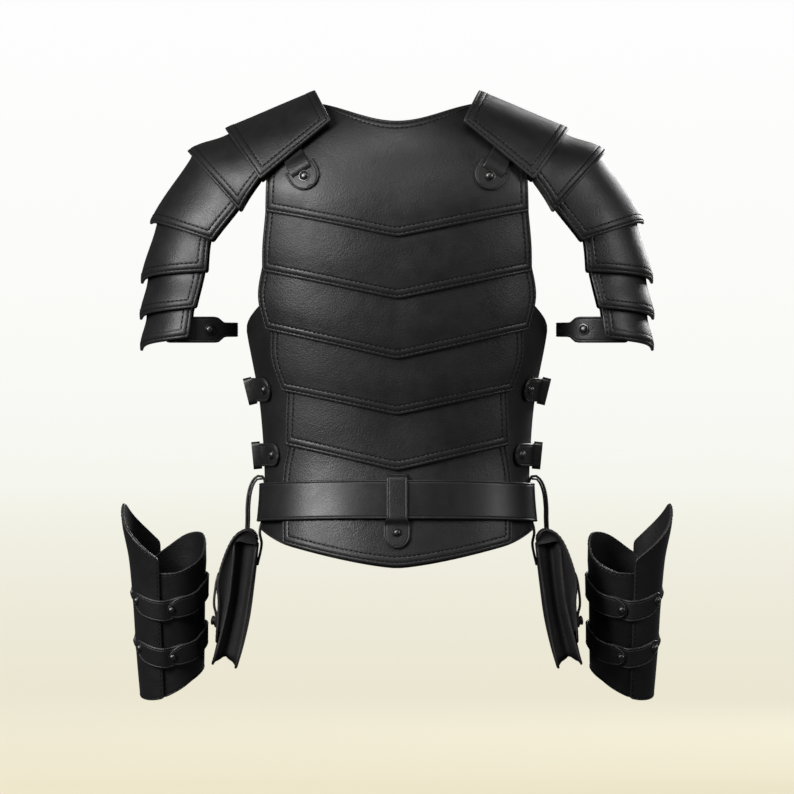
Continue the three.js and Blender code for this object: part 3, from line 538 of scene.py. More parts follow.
def swell(points):
    """Slow rise and fall of hand-shaped leather, from -1 to 1, the same wherever pieces overlap."""
    x, y, z = np.moveaxis(points, -1, 0)
    long_wave = np.sin(x / 31 + z / 47 + 0.7) * np.sin(z / 23 - y / 41 + x / 83)
    short_wave = np.sin(x / 17 - z / 29 + 2.1) * np.sin(z / 13 + x / 37 + y / 19)
    return 0.65 * long_wave + 0.35 * short_wave


# ---------------------------------------------------------------- where each piece lies
def lame_places(side, index):
    """Where a point of a lame lies, as x and z, for shares across and down it."""
    bottom = chevron(index)
    top = top_line(side) if index == 0 else lifted(chevron(index - 1), OVERLAP)
    halves = LAMES[index][2]
    edge = track(((0, halves[0]), (0.55, halves[1]), (1, halves[2])))

    def places(u, v):
        inner = np.full_like(v, INNER)
        row = between(top, bottom, v, inner)
        share = (top(inner) - row) / (top(inner) - bottom(inner))
        x = (2 * u - 1) * edge(share)
        return x, between(top, bottom, v, x)

    return places


def tail_places(u, v):
    x = (2 * u - 1) * mix(TAIL["head"], TAIL["half"], ease(v / 0.5))
    return x, between(lifted(chevron(-1), OVERLAP), lifted(hem, TAIL["short"]), v, x)


def panel_places(side):
    """The under panel is narrow beside the arm and widens below the armhole."""
    top, yoke_foot, tail_head = top_line(side), chevron(0), lifted(chevron(-1), OVERLAP)
    yoke, tail = PANEL["yoke"], PANEL["tail"]

    def line(v, x):
        upper = between(top, yoke_foot, np.clip(v / yoke, 0, 1), x)
        middle = mix(yoke_foot(x), tail_head(x), np.clip((v - yoke) / (tail - yoke), 0, 1))
        lower = mix(tail_head(x), hem(x), np.clip((v - tail) / (1 - tail), 0, 1))
        return np.where(v < yoke, upper, np.where(v < tail, middle, lower))

    def places(u, v):
        height = line(v, np.full_like(v, YOKE_HALF))
        widest = half_width(height) * math.sin(math.radians(PANEL["edge"])) ** (2 / FORM_POWER)
        widened = ease((PANEL["widen_from"] - height) / PANEL["widen_over"])
        x = (2 * u - 1) * mix(YOKE_HALF - PANEL["tucked"], widest, widened)
        z = line(v, x)
        limit = half_width(z) * PANEL["inside"]
        return np.clip(x, -limit, limit), z

    return places


def on_trunk(places, side):
    def lay(u, v, offset):
        x, z = places(u, v)
        return trunk_point(x, z, offset, side)

    return lay


def lame_rise(height):
    """How far a lame has come out over the one below it, by the height over its lower edge."""
    share = np.clip((OVERLAP + RISE_FROM - height) / RISE_OVER, 0, 1)
    return mix(share, ease(share), 0.6)


def lame_low(places, index):
    """A lame's flesh side: low under the lame above it, raised over the one below."""
    foot = chevron(index)

    def low(u, v):
        x, z = places(u, v)
        return LOWEST + RISE * lame_rise(z - foot(x))

    return low


def torso_hides(side):
    """Every sheet of one half of the cuirass and the length hidden at its head, by its node's name."""
    hides = {side + "_panel": (Hide(on_trunk(panel_places(side), side), BASE_THICK, cell=9, wave=0.15), 0)}
    for index in range(len(LAMES)):
        places = lame_places(side, index)
        name, edges, hidden = (f"_lame_{index + 1}", "ldr", HIDDEN) if index else ("_yoke", "ludr", 0)
        look = {"cell": 6.5, "cluster": 6, "corner": 2.2, "wave": 0.25}
        hide = Hide(on_trunk(places, side), LAME_THICK, lame_low(places, index), edges, BOTH_ROWS, **look)
        hides[side + name] = (hide, hidden)
    tail = Hide(
        on_trunk(tail_places, side), LAME_THICK, LOWEST, "ldr", BOTH_ROWS, cell=6.5, corner=3, wave=0.25,
    )
    return hides | {side + "_tail": (tail, HIDDEN)}


def round_end(half, from_end, least=0.16):
    inside = np.clip(from_end / half, 0, 1)
    return half * np.maximum(least, np.sqrt(inside * (2 - inside)))


def shoulder_spot(side, u, s, offset):
    """A point over the yoke in the slanted frame of the shoulder patch: u across, s down."""
    lean = math.radians(SHOULDER_TAB["lean"])
    x = SHOULDER_TAB["x"] + math.sin(lean) * s + math.cos(lean) * u
    z = SHOULDER_TAB["z"] - math.cos(lean) * s + math.sin(lean) * u
    low = LOWEST + RISE * lame_rise(z - chevron(0)(x))
    return trunk_point(x, z, low + LAME_THICK + 0.9 + offset, side)


def shoulder_tab_hides(side):
    """The patch on the yoke and the strap that ties the guard to it."""
    tab = SHOULDER_TAB

    def patch(u, v, offset):
        s = mix(-tab["top"], tab["end"], v)
        return shoulder_spot(side, (2 * u - 1) * round_end(tab["half"], tab["end"] - s), s, offset)

    def strap(u, v, offset):
        s = mix(-tab["up"], -3.5, v)
        lift = 2.6 * ease((s + 24) / 10) + 1.1 * np.exp(-(((s + 9) / 6) ** 2)) - 1.7 * ease((s + 6.5) / 3)
        return shoulder_spot(side, (2 * u - 1) * tab["strap"], s, offset + lift)

    return Hide(patch, TIE_THICK, cell=3, wave=0.25), Hide(strap, TIE_THICK, rows=(), cell=3, wave=0.25)


def belt_low(degrees):
    off = np.abs(np.mod(degrees + 90, 180) - 90)
    return mix(BELT["proud"], BELT["side"], ease((off - BELT["turn_from"]) / BELT["turn_over"]))


def belt_spot(degrees, v, offset):
    droop = BELT["droop"] * np.abs(np.sin(np.radians(degrees))) ** 3
    return girdle_point(degrees, mix(BELT["top"], BELT["bottom"], v) - droop, offset)


def belt_hide():
    lay = lambda u, v, offset: belt_spot(360 * u, v, offset)
    return Hide(lay, BELT_THICK, lambda u, v: belt_low(360 * u), "ud", cell=7, ring=True, wave=0.1)


def belt_tip_hide():
    start, end = BELT_TIP

    def lay(u, v, offset):
        degrees = mix(start, end, u)
        narrow = round_end(1, (end - degrees) / 9, 0.2)
        return belt_spot(degrees, 0.5 + (v - 0.5) * narrow * 0.96, offset)

    low = lambda u, v: belt_low(mix(start, end, u)) + BELT_THICK + 0.5
    return Hide(lay, BELT_THICK, low, cell=5, wave=0.1)


def belt_keeper_hide():
    """The leather ring that holds the belt's free end down."""
    start, end = BELT_KEEPER

    def lay(u, v, offset):
        rise = -3.2 * (1 - ease(np.minimum(v, 1 - v) / 0.055))
        height = mix(BELT["top"] + 3, BELT["bottom"] - 3, v) - 2.2
        return girdle_point(mix(start, end, u), height, offset + rise)

    return Hide(lay, 2.2, lambda u, v: belt_low(mix(start, end, u)) + 2 * BELT_THICK + 1.2, rows=(), cell=3)


def belt_loop_hide():
    over = BELT["proud"] + BELT_THICK + GAP

    def lay(u, v, offset):
        z = mix(LOOP["top"], LOOP["bottom"], v)
        tab = round_end(LOOP["tab"], z - LOOP["bottom"])
        wide = mix(tab, LOOP["half"], ease((z - BELT["bottom"] + 5) / 4))
        raised = ease((LOOP["top"] - 0.5 - z) / 5) * ease((z - BELT["bottom"] + 6) / 5)
        return trunk_point((2 * u - 1) * wide, z, offset + mix(LOOP_LOW, over, raised), "back")

    return Hide(lay, STRAP_THICK, cell=3.5)


def side_strap_hide(z, start, half):
    length = SIDE_DEGREE * (90 - start) * 2

    def lay(u, v, offset):
        wide = round_end(half, np.minimum(u, 1 - u) * length)
        return girdle_point(-mix(start, 180 - start, u), z + (1 - 2 * v) * wide, offset)

    return Hide(lay, STRAP_THICK, SIDE_LOW, cell=4)


def side_strap_spot(z, start, u, offset):
    """A point of a left side strap's face, u along it."""
    degrees = np.array(-float(mix(start, 180 - start, u)))
    return girdle_point(degrees, np.array(float(z)), np.array(SIDE_LOW + STRAP_THICK + offset))


def nearly_straight(values):
    """Runs almost straight from station to station, as stiff lames do."""
    at = np.arange(len(values))
    smooth = track(list(zip(at, values)))

    def curve(w):
        inside = np.interp(w, at, values)
        return np.where((w < 0) | (w > at[-1]), smooth(w), mix(smooth(w), inside, 0.8))

    return curve


GUARD_TRACKS = [nearly_straight([station[k] for station in STATIONS]) for k in range(6)]


def guard_point(f, w):
    """A point of the left guard's outer face: w runs down the lames, f from -1 at the back to 1."""
    ridge_x, ridge_z, corner_x, corner_z, spread, depth = (curve(w) for curve in GUARD_TRACKS)
    top = np.stack([ridge_x, 0 * w, ridge_z], -1)
    up = top - np.stack([corner_x, 0 * w, corner_z], -1)
    rise = np.linalg.norm(up, axis=-1)
    turn = f * np.radians(spread)
    radius = rise / (1 - np.cos(np.radians(spread)))
    point = top + up / rise[..., None] * (radius * (np.cos(turn) - 1))[..., None]
    point[..., 1] = depth * np.sin(turn)
    return point


def guard_hide(index):
    start = index - TUCK[index]
    tucked = TUCK[index] / (1 + TUCK[index])

    def lay(u, v, offset):
        h = 0.01
        f = (2 * u - 1) * mix(0.955 if index else 1, 1, v)
        w = mix(start, index + 1 + DIPS[index] * np.exp(-np.hypot(f, 0.03) / 0.22), v)
        across = guard_point(f + h, w) - guard_point(f - h, w)
        down = guard_point(f, w + h) - guard_point(f, w - h)
        normal = unit(np.cross(across, down))
        return guard_point(f, w) + normal * np.asarray(offset)[..., None]

    def low(u, v):
        deep = LAME_THICK + GAP + 1.8 + 2 * np.cos(np.radians(90 * (2 * u - 1))) if index else 0
        return -LAME_THICK - deep * (1 - ease((v - tucked) / (0.9 - tucked)))

    return Hide(lay, LAME_THICK, low, "ldr" if index else "ludr", BOTH_ROWS, cluster=3, corner=3, wave=0.25)


def arm_strap_hide():
    strap = ARM_STRAP

    def lay(u, v, offset):
        degrees = mix(-strap["reach"], strap["reach"], u)
        widened = ease((np.abs(degrees) - strap["widen_from"]) / strap["widen_over"])
        half = mix(strap["narrow"], strap["tab"], widened)
        r, turn = strap["radius"] + offset, np.radians(degrees)
        up = strap["z"] + half * (1 - 2 * v)
        return np.stack([strap["x"] + r * np.cos(turn), r * np.sin(turn), up], -1)

    return Hide(lay, STRAP_THICK, edges="ud", cell=5)


bracer_radius = track(BRACER_RADIUS)
BRACER_AXIS = BRACER_FOOT - BRACER_TOP
BRACER_OUT = unit(np.array((-1.0, 0, 0)) + BRACER_AXIS * BRACER_AXIS[0] / (BRACER_AXIS @ BRACER_AXIS))
BRACER_BACK = unit(np.cross(BRACER_AXIS, BRACER_OUT))


def bracer_point(degrees, s, offset):
    """A point of the left bracer: 0 is its outer side, 180 the side to the body, 270 the back."""
    turn = np.radians(degrees)
    flare = np.maximum(0, np.cos(turn))
    radius = mix(bracer_radius(np.maximum(s, 0.3)), bracer_radius(s), flare)
    radius = radius + BRACER_BULGE * np.maximum(0, -np.cos(turn)) + offset
    ring = np.cos(turn)[..., None] * BRACER_OUT + np.sin(turn)[..., None] * BRACER_BACK
    return BRACER_TOP + s[..., None] * BRACER_AXIS + radius[..., None] * ring


def bracer_shell_hide():
    reach, rim, peak, foot = BRACER_SHELL.values()
    soft = 0.1  # rounds the point where the rim's two edges meet

    def lay(u, v, offset):
        degrees = mix(-reach, reach, u)
        away = np.where(degrees > peak, (degrees - peak) / (reach - peak), (peak - degrees) / (reach + peak))
        top = rim * (np.hypot(away, soft) ** 0.8 - soft**0.8)
        return bracer_point(degrees, mix(top, 1 - foot * np.abs(degrees / reach) ** 3, v), offset)

    return Hide(lay, LAME_THICK, -LAME_THICK, corner=4, wave=0.25)


tongue_top, tongue_foot, strap_rise = (track(pairs) for pairs in (TONGUE_TOP, TONGUE_FOOT, STRAP_RISE))


def bracer_tongue_hide():
    def lay(u, v, offset):
        degrees = mix(180 - TONGUE_REACH, 180 + TONGUE_REACH, u)
        return bracer_point(degrees, mix(tongue_top(degrees), tongue_foot(degrees), v), offset)

    return Hide(lay, TIE_THICK, -LAME_THICK - GAP - TIE_THICK, wave=0.25)


def bracer_strap_low(degrees):
    inward = 180 - BRACER_SHELL["reach"] - 3 - np.abs(180 - degrees)
    return mix(GAP * 1.2, GAP * 0.6 - LAME_THICK, ease(inward / 14))


def bracer_strap_hides(at, half):
    """The two halves of a strap: the inner one, which lies on top, and the outer one."""
    start, end = BRACER_STRAP_REACH

    def strap(first, last, low):
        def lay(u, v, offset):
            degrees = mix(first, last, u)
            wide = round_end(1, np.minimum(degrees - first, last - degrees) / 22)
            return bracer_point(degrees, at - strap_rise(degrees) + half * wide * (2 * v - 1), offset)

        return Hide(lay, STRAP_THICK, lambda u, v: low(mix(first, last, u)), cell=4)

    over = lambda d: bracer_strap_low(d) + LAP_RISE * ease((d - LAP[0] + 18) / 16)
    return strap(start, LAP[1], over), strap(LAP[0], end, bracer_strap_low)


def curve_through(points):
    """A smooth curve through (out, up) points: a function of a share of its length."""
    points = np.array(points, float)
    run = np.concatenate([[0], np.cumsum(np.linalg.norm(np.diff(points, axis=0), axis=1))])
    run = run / run[-1]
    curves = [track(list(zip(run, points[:, k]))) for k in range(2)]
    return lambda share: np.stack([curve(share) for curve in curves], -1)


def hung(out, wide, up):
    """A point of the left pouch's own frame, leaned and hung at the belt's side."""
    lean = math.radians(POUCH["lean"])
    x = POUCH["top"][0] - (out * math.cos(lean) - up * math.sin(lean))
    z = POUCH["top"][1] + out * math.sin(lean) + up * math.cos(lean)
    return np.stack([x, -wide + 0 * x, z], -1)


def band_lay(points, width, place=hung):
    """Lays a strap of a width along a line seen from the side: u across it, v along it."""
    curve = curve_through(points)

    def lay(u, v, offset):
        h = 0.004
        along = unit(curve(np.clip(v + h, 0, 1)) - curve(np.clip(v - h, 0, 1)))
        spot = curve(v)
        out = spot[..., 0] + along[..., 1] * -np.asarray(offset)
        up = spot[..., 1] + along[..., 0] * np.asarray(offset)
        return place(out, (u - 0.5) * width, up)

    return lay


def pouch_face_lay(out):
    """Front or back of the pouch, gently bowed: out gives its place by height."""

    def lay(u, v, offset):
        half, up = POUCH["wide"] / 2, -POUCH["high"] * v
        wide = (2 * u - 1) * half
        bow = 2.6 * (1 - (2 * u - 1) ** 2) * np.sin(np.pi * np.clip(v * 0.9 + 0.05, 0, 1))
        return hung(out(up) + np.sign(out(up) - 5) * bow + offset, wide, up)

    return lay


def pouch_hides():
    """Every sheet of the left pouch, by name."""
    high, wide, deep = POUCH["high"], POUCH["wide"], POUCH["deep"]
    front_out = track([(up, deep + out) for up, out in POUCH_FRONT])
    back_out = track(POUCH_BACK)
    radius, half = 12, wide / 2 - 2.6
    leg = high - radius - 3
    arc = radius * math.pi / 2
    whole = 2 * leg + 2 * arc + 2 * (half - radius)

    def gusset(u, v, offset):
        run = v * whole
        mirror = np.where(run > whole / 2, -1, 1)
        run = np.minimum(run, whole - run)
        turn = np.clip((run - leg) / arc, 0, 1) * np.pi / 2
        flat = np.clip(run - leg - arc, 0, None)
        side = -(half - radius) - radius * np.cos(turn) + flat
        up = -np.minimum(run, leg) - radius * np.sin(turn)
        folded = 8.5 * (1 - np.abs(2 * u - 1) ** 1.25)
        folded = folded + 1.2 * np.sin(np.pi * 4 * u) * np.sin(np.pi * u) + offset
        side = side + folded * np.cos(turn)
        up = up + folded * np.sin(turn)
        out = mix(back_out(up) + 2.2, front_out(up) + 0.4, u)
        return hung(out, side * mirror, up)

    beyond = lambda line: [(deep + out, up) for out, up in line]
    flap = [*FLAP_BEHIND, *beyond(FLAP_BEYOND)]
    throat = curve_through([(0.8, -1.4), (deep * 0.5, -1.6), *beyond(CHEEK_LINE)])
    hood = curve_through(flap[:-1])

    def cheek(side):
        """The side of the flap, which closes the gap between it and the pouch."""

        def lay(u, v, offset):
            near, far = throat(v), hood(v)
            spot = near + (far - near) * (u * 0.97)[..., None]
            sag = 2.2 * np.sin(np.pi * u)
            return hung(spot[..., 0], side * (wide / 2 - 1.6 - sag) + side * offset, spot[..., 1])

        return Hide(lay, 1.8, edges="", rows=(), cell=4)

    body = {"cell": 7, "corner": 12, "wave": 0.3}
    closing = band_lay(beyond(CLOSING_LINE), 20)
    return {
        "pouch_back": Hide(pouch_face_lay(back_out), TIE_THICK, -0.2, **body),
        "pouch_front": Hide(pouch_face_lay(front_out), TIE_THICK + 0.2, **body),
        "pouch_gusset": Hide(gusset, 1.6, edges="", rows=(), cell=3.2),
        "pouch_flap": Hide(band_lay(flap, wide + 2), TIE_THICK, -TIE_THICK / 2, "ldr", corner=14, wave=0.3),
        "pouch_cheek_back": cheek(1),
        "pouch_cheek_front": cheek(-1),
        "pouch_strap": Hide(closing, TIE_THICK, -TIE_THICK / 2, cell=3.5, corner=8),
    }


def hanger_hides():
    """The strap that carries the pouch, and its lining where it goes over the belt."""
    inner = -float(half_width(BELT["top"])) - 1.2
    line = [(inner + out, up) for out, up in HANGER_LINE]
    upright = lambda out, wide, up: np.stack([out, wide + 0 * out, up], -1)
    single = Hide(band_lay(line, 26, upright), 2.8, -1.4, rows=(), cell=4)
    return single, Hide(band_lay(line[7:], 24, upright), 2.2, 1.7, rows=(), cell=4)


# ---------------------------------------------------------------- materials
class Wire:
    """A value in a material, for plain arithmetic between sockets and numbers."""

    def __init__(self, paint, socket):
        self.paint, self.socket = paint, socket

    def math(self, operation, a, b):
        return self.paint.node("ShaderNodeMath", {"operation": operation}, {0: a, 1: b})

    def __add__(self, other):
        return self.math("ADD", self, other)

    def __sub__(self, other):
        return self.math("SUBTRACT", self, other)

    def __rsub__(self, other):
        return self.math("SUBTRACT", other, self)

    def __mul__(self, other):
        return self.math("MULTIPLY", self, other)

    def __pow__(self, other):
        return self.math("POWER", self, other)

    __radd__ = __add__
    __rmul__ = __mul__


class Paint:
    """A material, its nodes and the places that they read."""

    def __init__(self, name):
        self.material = bpy.data.materials.new(name)
        self.material.use_nodes = True
        self.tree = self.material.node_tree
        self.tree.nodes.clear()
        self.where = self.node("ShaderNodeTexCoord", out="Object")

    def node(self, kind, settings=None, values=None, out=0):
        node = self.tree.nodes.new(kind)
        for key, value in (settings or {}).items():
            setattr(node, key, value)
        for key, value in (values or {}).items():
            if isinstance(value, Wire):
                self.tree.links.new(value.socket, node.inputs[key])
            else:
                node.inputs[key].default_value = value
        return Wire(self, node.outputs[out])

    def blend(self, share, first, second):
        """A colour between two colours."""
        return self.node("ShaderNodeMix", {"data_type": "RGBA"}, {0: share, 6: first, 7: second}, out=2)

    def noise(self, scale, detail=3, rough=0.55):
        values = {"Vector": self.where, "Scale": scale, "Detail": detail, "Roughness": rough}
        return self.node("ShaderNodeTexNoise", None, values)

    def attribute(self, name):
        return self.node("ShaderNodeAttribute", {"attribute_name": name}, out="Fac")

    def move(self, operation, place, by=None, out=0):
        values = {0: place} if by is None else {0: place, 1: by}
        return self.node("ShaderNodeVectorMath", {"operation": operation}, values, out)

    def surface(self, values):
        """Ends the material with a plain surface of these values."""
        surface = self.node("ShaderNodeBsdfPrincipled", None, values)
        output = self.tree.nodes.new("ShaderNodeOutputMaterial")
        self.tree.links.new(surface.socket, output.inputs["Surface"])


def tinted(colour, share):
    return (*(channel * share for channel in colour[:3]), 1)


def leather_finish(name, colour, rough, coat, relief, worn, sheen=0.5):
    """Waxed near-black leather: grain, slow mottling, paler rubbed edges, and painted shade that darkens the
    crease groove of the outer stitch row.
    """
    paint = Paint(name)
    rim, seam = paint.attribute("rim"), paint.attribute("seam")
    broad, patchy, pores = paint.noise(16), paint.noise(62, 4, 0.6), paint.noise(900, 2, 0.6)
    spread = {"Vector": paint.where, "Scale": 620}
    pebbles = paint.node("ShaderNodeTexVoronoi", {"feature": "SMOOTH_F1"}, spread)
    base = paint.blend(broad * 0.55 + patchy * 0.45, tinted(colour, 0.55), tinted(colour, 1.6))
    base = paint.blend(rim * patchy * (1.5 * worn), base, RUBBED)
    # Painted shade: the crease groove along the outer stitch row is darkened, as if in shadow.
    base = paint.blend(seam * 0.5, base, tinted(colour, 0.12))
    gloss = rough + (patchy - 0.5) * 0.2 + (broad - 0.5) * 0.3 + (pores - 0.5) * 0.06
    gloss = gloss - rim * 0.12 + seam * 0.3
    height = pebbles * 0.55 + pores * 0.35 + patchy * 1.1
    bump = paint.node("ShaderNodeBump", None, {"Strength": relief, "Distance": 0.0011, "Height": height})
    paint.surface({
        "Base Color": base, "Roughness": gloss, "Normal": bump, "Coat Weight": coat, "Coat Roughness": 0.3,
        "Specular IOR Level": sheen,
    })


def thread_finish(name, colour):
    paint = Paint(name)
    base = paint.blend(paint.noise(1500, 1), tinted(colour, 0.5), tinted(colour, 1.5))
    paint.surface({"Base Color": base, "Roughness": 0.75, "Specular IOR Level": 0.2})


def metal_finish(name, colour, rough):
    """Dark bronzed steel, rubbed unevenly."""
    paint = Paint(name)
    rubbed = paint.noise(240, 4, 0.6)
    base = paint.blend(rubbed, tinted(colour, 0.7), tinted(colour, 1.35))
    paint.surface({"Base Color": base, "Metallic": 1.0, "Roughness": rough + (rubbed - 0.5) * 0.22})


def paper_finish(name, near, far, reach, along, start=(0, 0, 0)):
    """Pale matt paper that glows with painted light in place of studio light on it, its tone changing with
    the distance from its start.
    """
    paint = Paint(name)
    flat = paint.move("MULTIPLY", paint.move("SUBTRACT", paint.where, start), along)
    away = paint.move("LENGTH", flat, out="Value")
    span = {"Value": away, "From Min": reach[0], "From Max": reach[1]}
    share = paint.node("ShaderNodeMapRange", None, span)
    tone = paint.blend(share**0.5, near, far)
    dimmed_base_colour = paint.blend(0.88, tone, (0, 0, 0, 1))
    values = {"Base Color": dimmed_base_colour, "Roughness": 1.0, "Emission Color": tone}
    # Painted light: the paper glows with its tone, and its base colour is dimmed so that the glow carries it.
    paint.surface(values | {"Emission Strength": 0.9, "Specular IOR Level": 0.0})
    return paint.material


RUBBED = (0.05, 0.046, 0.043, 1)  # where the dye is worn off an edge
# Each finish: its material, and the slot of the record that it fills.
FINISHES = {
    "armour": ("Armour leather", "armour_leather"),
    "belt": ("Belt leather", "belt_leather"),
    "strap": ("Strap leather", "strap_leather"),
    # The pouch finish is the armour leather painted darker, with less sheen, as painted shade.
    "pouch": ("Pouch leather painted darker as shade", "armour_leather"),
    "thread": ("Waxed thread", None),
    "metal": ("Bronzed steel", "hardware"),
}


def finish(key):
    """The material and the slot of a finish. The first call makes every material."""
    scene = bpy.context.scene
    if "Armour leather" not in bpy.data.materials:
        skin, thread, metal = scene.armour_leather, scene.armour_thread, scene.armour_hardware
        leather_finish("Armour leather", skin.colour, skin.roughness, 0.06, skin.grain, skin.wear)
        leather_finish("Belt leather", skin.colour, skin.belt_roughness, 0.12, skin.grain * 0.3, skin.wear)
        leather_finish("Strap leather", skin.colour, skin.roughness + 0.02, 0.06, skin.grain, skin.wear)
        # Painted shade: the pouches take the same leather tinted darker and with less sheen, so that they
        # look shaded.
        leather_finish("Pouch leather painted darker as shade", tinted(skin.colour, 0.7), 0.6, 0, skin.grain, skin.wear, 0.22)
        thread_finish("Waxed thread", thread.colour)
        metal_finish("Bronzed steel", metal.colour, metal.roughness)
    name, slot = FINISHES[key]
    return bpy.data.materials[name], slot


# ---------------------------------------------------------------- putting pieces in the scene
def put(piece, slot=None, node=None):
    """Puts a new piece on the root and hides the node of the frame that it stands for. Whose finish it takes
    (slot) is not used.
    """
    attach(piece, "root")
    if node:
        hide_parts(node)


def cut(hide, name, key, node=None, under=None, held="stretched"):
    """Builds one sheet of leather and puts it in the scene. What it lies on (under) is not used."""
    material, slot = finish(key)
    piece = hide.build(name, material)
    put(piece, slot, node)
    wide, high = hide.size
    area = min(hide.area, wide * high)


STITCH_SIDES = 5
# The form of a stitch from end to end: place along it, width, rise.
STITCH_FORM = np.array(((-1, 0.45, -0.5), (-0.62, 1, 0.1), (0.62, 1, 0.1), (1, 0.45, -0.5)))


def sew(name, sheets):
    """Puts stitches along every row of the sheets, all in one mesh.

    A sheet comes with the length of it that is hidden under the piece above.
    """
    settings = bpy.context.scene.armour_thread
    spots, tangents, ups = [], [], []
    seams = [run for hide, hidden in sheets for row in hide.rows for run in hide.runs(row, hidden)]
    for points, normals in seams:
        run = np.concatenate([[0], np.cumsum(np.linalg.norm(np.diff(points, axis=0), axis=1))])
        count = int(run[-1] / (settings.pitch / MM))
        if count < 2:
            continue
        at = (np.arange(count) + 0.5) * run[-1] / count
        along = lambda places, values: np.stack([np.interp(places, run, column) for column in values.T], -1)
        spots.append(along(at, points))
        tangents.append(unit(along(at + 0.6, points) - along(at - 0.6, points)))
        ups.append(unit(along(at, normals)))
    spot, ahead, up = (np.concatenate(rows)[:, None, None] for rows in (spots, tangents, ups))
    across = unit(np.cross(up, ahead))
    half, thick = settings.length / MM / 2, settings.thickness / MM / 2
    turn = np.arange(STITCH_SIDES) / STITCH_SIDES * 2 * np.pi + 0.3
    ring_c, ring_s = (f(turn)[None, None, :, None] for f in (np.cos, np.sin))
    reach, wide, rise = (STITCH_FORM[None, :, k, None, None] for k in range(3))
    points = spot + ahead * reach * half + across * ring_c * wide * thick
    points = points + up * (ring_s * wide + 0.35 + rise) * thick
    index = np.arange(points[..., 0].size).reshape(points.shape[:3])
    after = np.roll(index, -1, 2)
    walls = np.stack([index[:, :-1], after[:, :-1], after[:, 1:], index[:, 1:]], -1).reshape(-1, 4)
    faces = walls.tolist() + index[:, 0, ::-1].tolist() + index[:, -1].tolist()
    mesh = bpy.data.meshes.new(name)
    mesh.from_pydata((points.reshape(-1, 3) * MM).tolist(), [], faces)
    mesh.shade_smooth()
    put(linked(name, mesh, finish("thread")[0]))


# ---------------------------------------------------------------- metal, shaped as by hand
SMOOTH_BELOW = math.radians(38)  # sharper edges of a casting stay sharp


def clear_selection():
    if bpy.context.object and bpy.context.object.mode != "OBJECT":
        bpy.ops.object.mode_set(mode="OBJECT")
    bpy.ops.object.select_all(action="DESELECT")


def start_form(primitive, **size):
    """Adds a primitive and opens it for shaping, all of it selected."""
    clear_selection()
    primitive(**size)
    bpy.ops.object.mode_set(mode="EDIT")
    bpy.ops.mesh.select_all(action="SELECT")
    return bpy.context.object


def raise_face(height):
    bpy.ops.mesh.extrude_region_move(TRANSFORM_OT_translate={"value": (0, 0, height * MM)})


def widen(across, along):
    bpy.ops.transform.resize(value=(across, along, 1), center_override=(0, 0, 0))


def close_form():
    bpy.ops.mesh.select_all(action="SELECT")
    bpy.ops.mesh.normals_make_consistent(inside=False)
    bpy.ops.object.mode_set(mode="OBJECT")


def turned(profile, sides=24):
    """A closed turned form: a disc drawn up through (radius, height) steps, in millimetres."""
    radius, height = profile[0]
    disc = {"vertices": sides, "radius": radius * MM, "fill_type": "NGON"}
    piece = start_form(bpy.ops.mesh.primitive_circle_add, **disc)
    bpy.ops.transform.translate(value=(0, 0, height * MM))
    for wider, higher in profile[1:]:
        raise_face(higher - height)
        widen(wider / radius, wider / radius)
        radius, height = wider, higher
    close_form()
    bpy.ops.object.shade_smooth_by_angle(angle=SMOOTH_BELOW)
    return piece


def window_frame(wide, high, window_wide, window_high, thick, prong):
    """A cast frame with round corners and a prong across its window, its back at height 0."""
    piece = start_form(bpy.ops.mesh.primitive_plane_add, size=1)
    widen(wide * MM, high * MM)
    bpy.ops.mesh.bevel(offset=5 * MM, segments=4, affect="VERTICES")
    bpy.ops.mesh.select_all(action="SELECT")
    rail = (high - window_high) / 2
    bpy.ops.mesh.inset(thickness=rail * MM, depth=0)
    widen(window_wide / (wide - 2 * rail), 1)
    bpy.ops.mesh.delete(type="FACE")
    bpy.ops.mesh.select_all(action="SELECT")
    raise_face(thick)
    close_form()
    round_edges = piece.modifiers.new("Round edges", "BEVEL")
    round_edges.width, round_edges.segments = min(2.6, rail * 0.47) * MM, 4
    round_edges.limit_method = "ANGLE"
    bpy.ops.object.modifier_apply(modifier=round_edges.name)
    end = wide / 2
    pin = turned(((prong * 0.6, 1 - end), (prong, 2 - end), (prong, wide * 0.3), (prong * 0.55, end - 1)), 12)
    over = Matrix.Translation((0, 0, (thick - prong) * MM))
    pin.data.transform(over @ Matrix.Rotation(math.pi / 2, 4, "Y"))
    clear_selection()
    pin.select_set(True)
    piece.select_set(True)
    bpy.context.view_layer.objects.active = piece
    bpy.ops.object.join()
    bpy.ops.object.shade_smooth_by_angle(angle=SMOOTH_BELOW)
    return piece


def standing(seat, outward, across=None):
    """The placing of a form whose back is on a seat and whose height points outward."""
    z = Vector(outward).normalized()
    x = Vector(across) if across else z.orthogonal()
    x = (x - z * x.dot(z)).normalized()
    place = Matrix((x, z.cross(x), z)).transposed().to_4x4()
    place.translation = Vector(seat) * MM
    return place


def set_down(name, master, places, node=None):
    """Copies a form to each place, joins the copies and says what they are."""
    clear_selection()
    material, slot = finish("metal")
    for place in places:
        mesh = master.data.copy()
        mesh.transform(place)
        piece = linked(name, mesh)
        piece.select_set(True)
    bpy.context.view_layer.objects.active = piece
    if len(places) > 1:
        bpy.ops.object.join()
    piece.name = name
    piece.data.materials.clear()
    piece.data.materials.append(material)
    put(piece, slot, node)


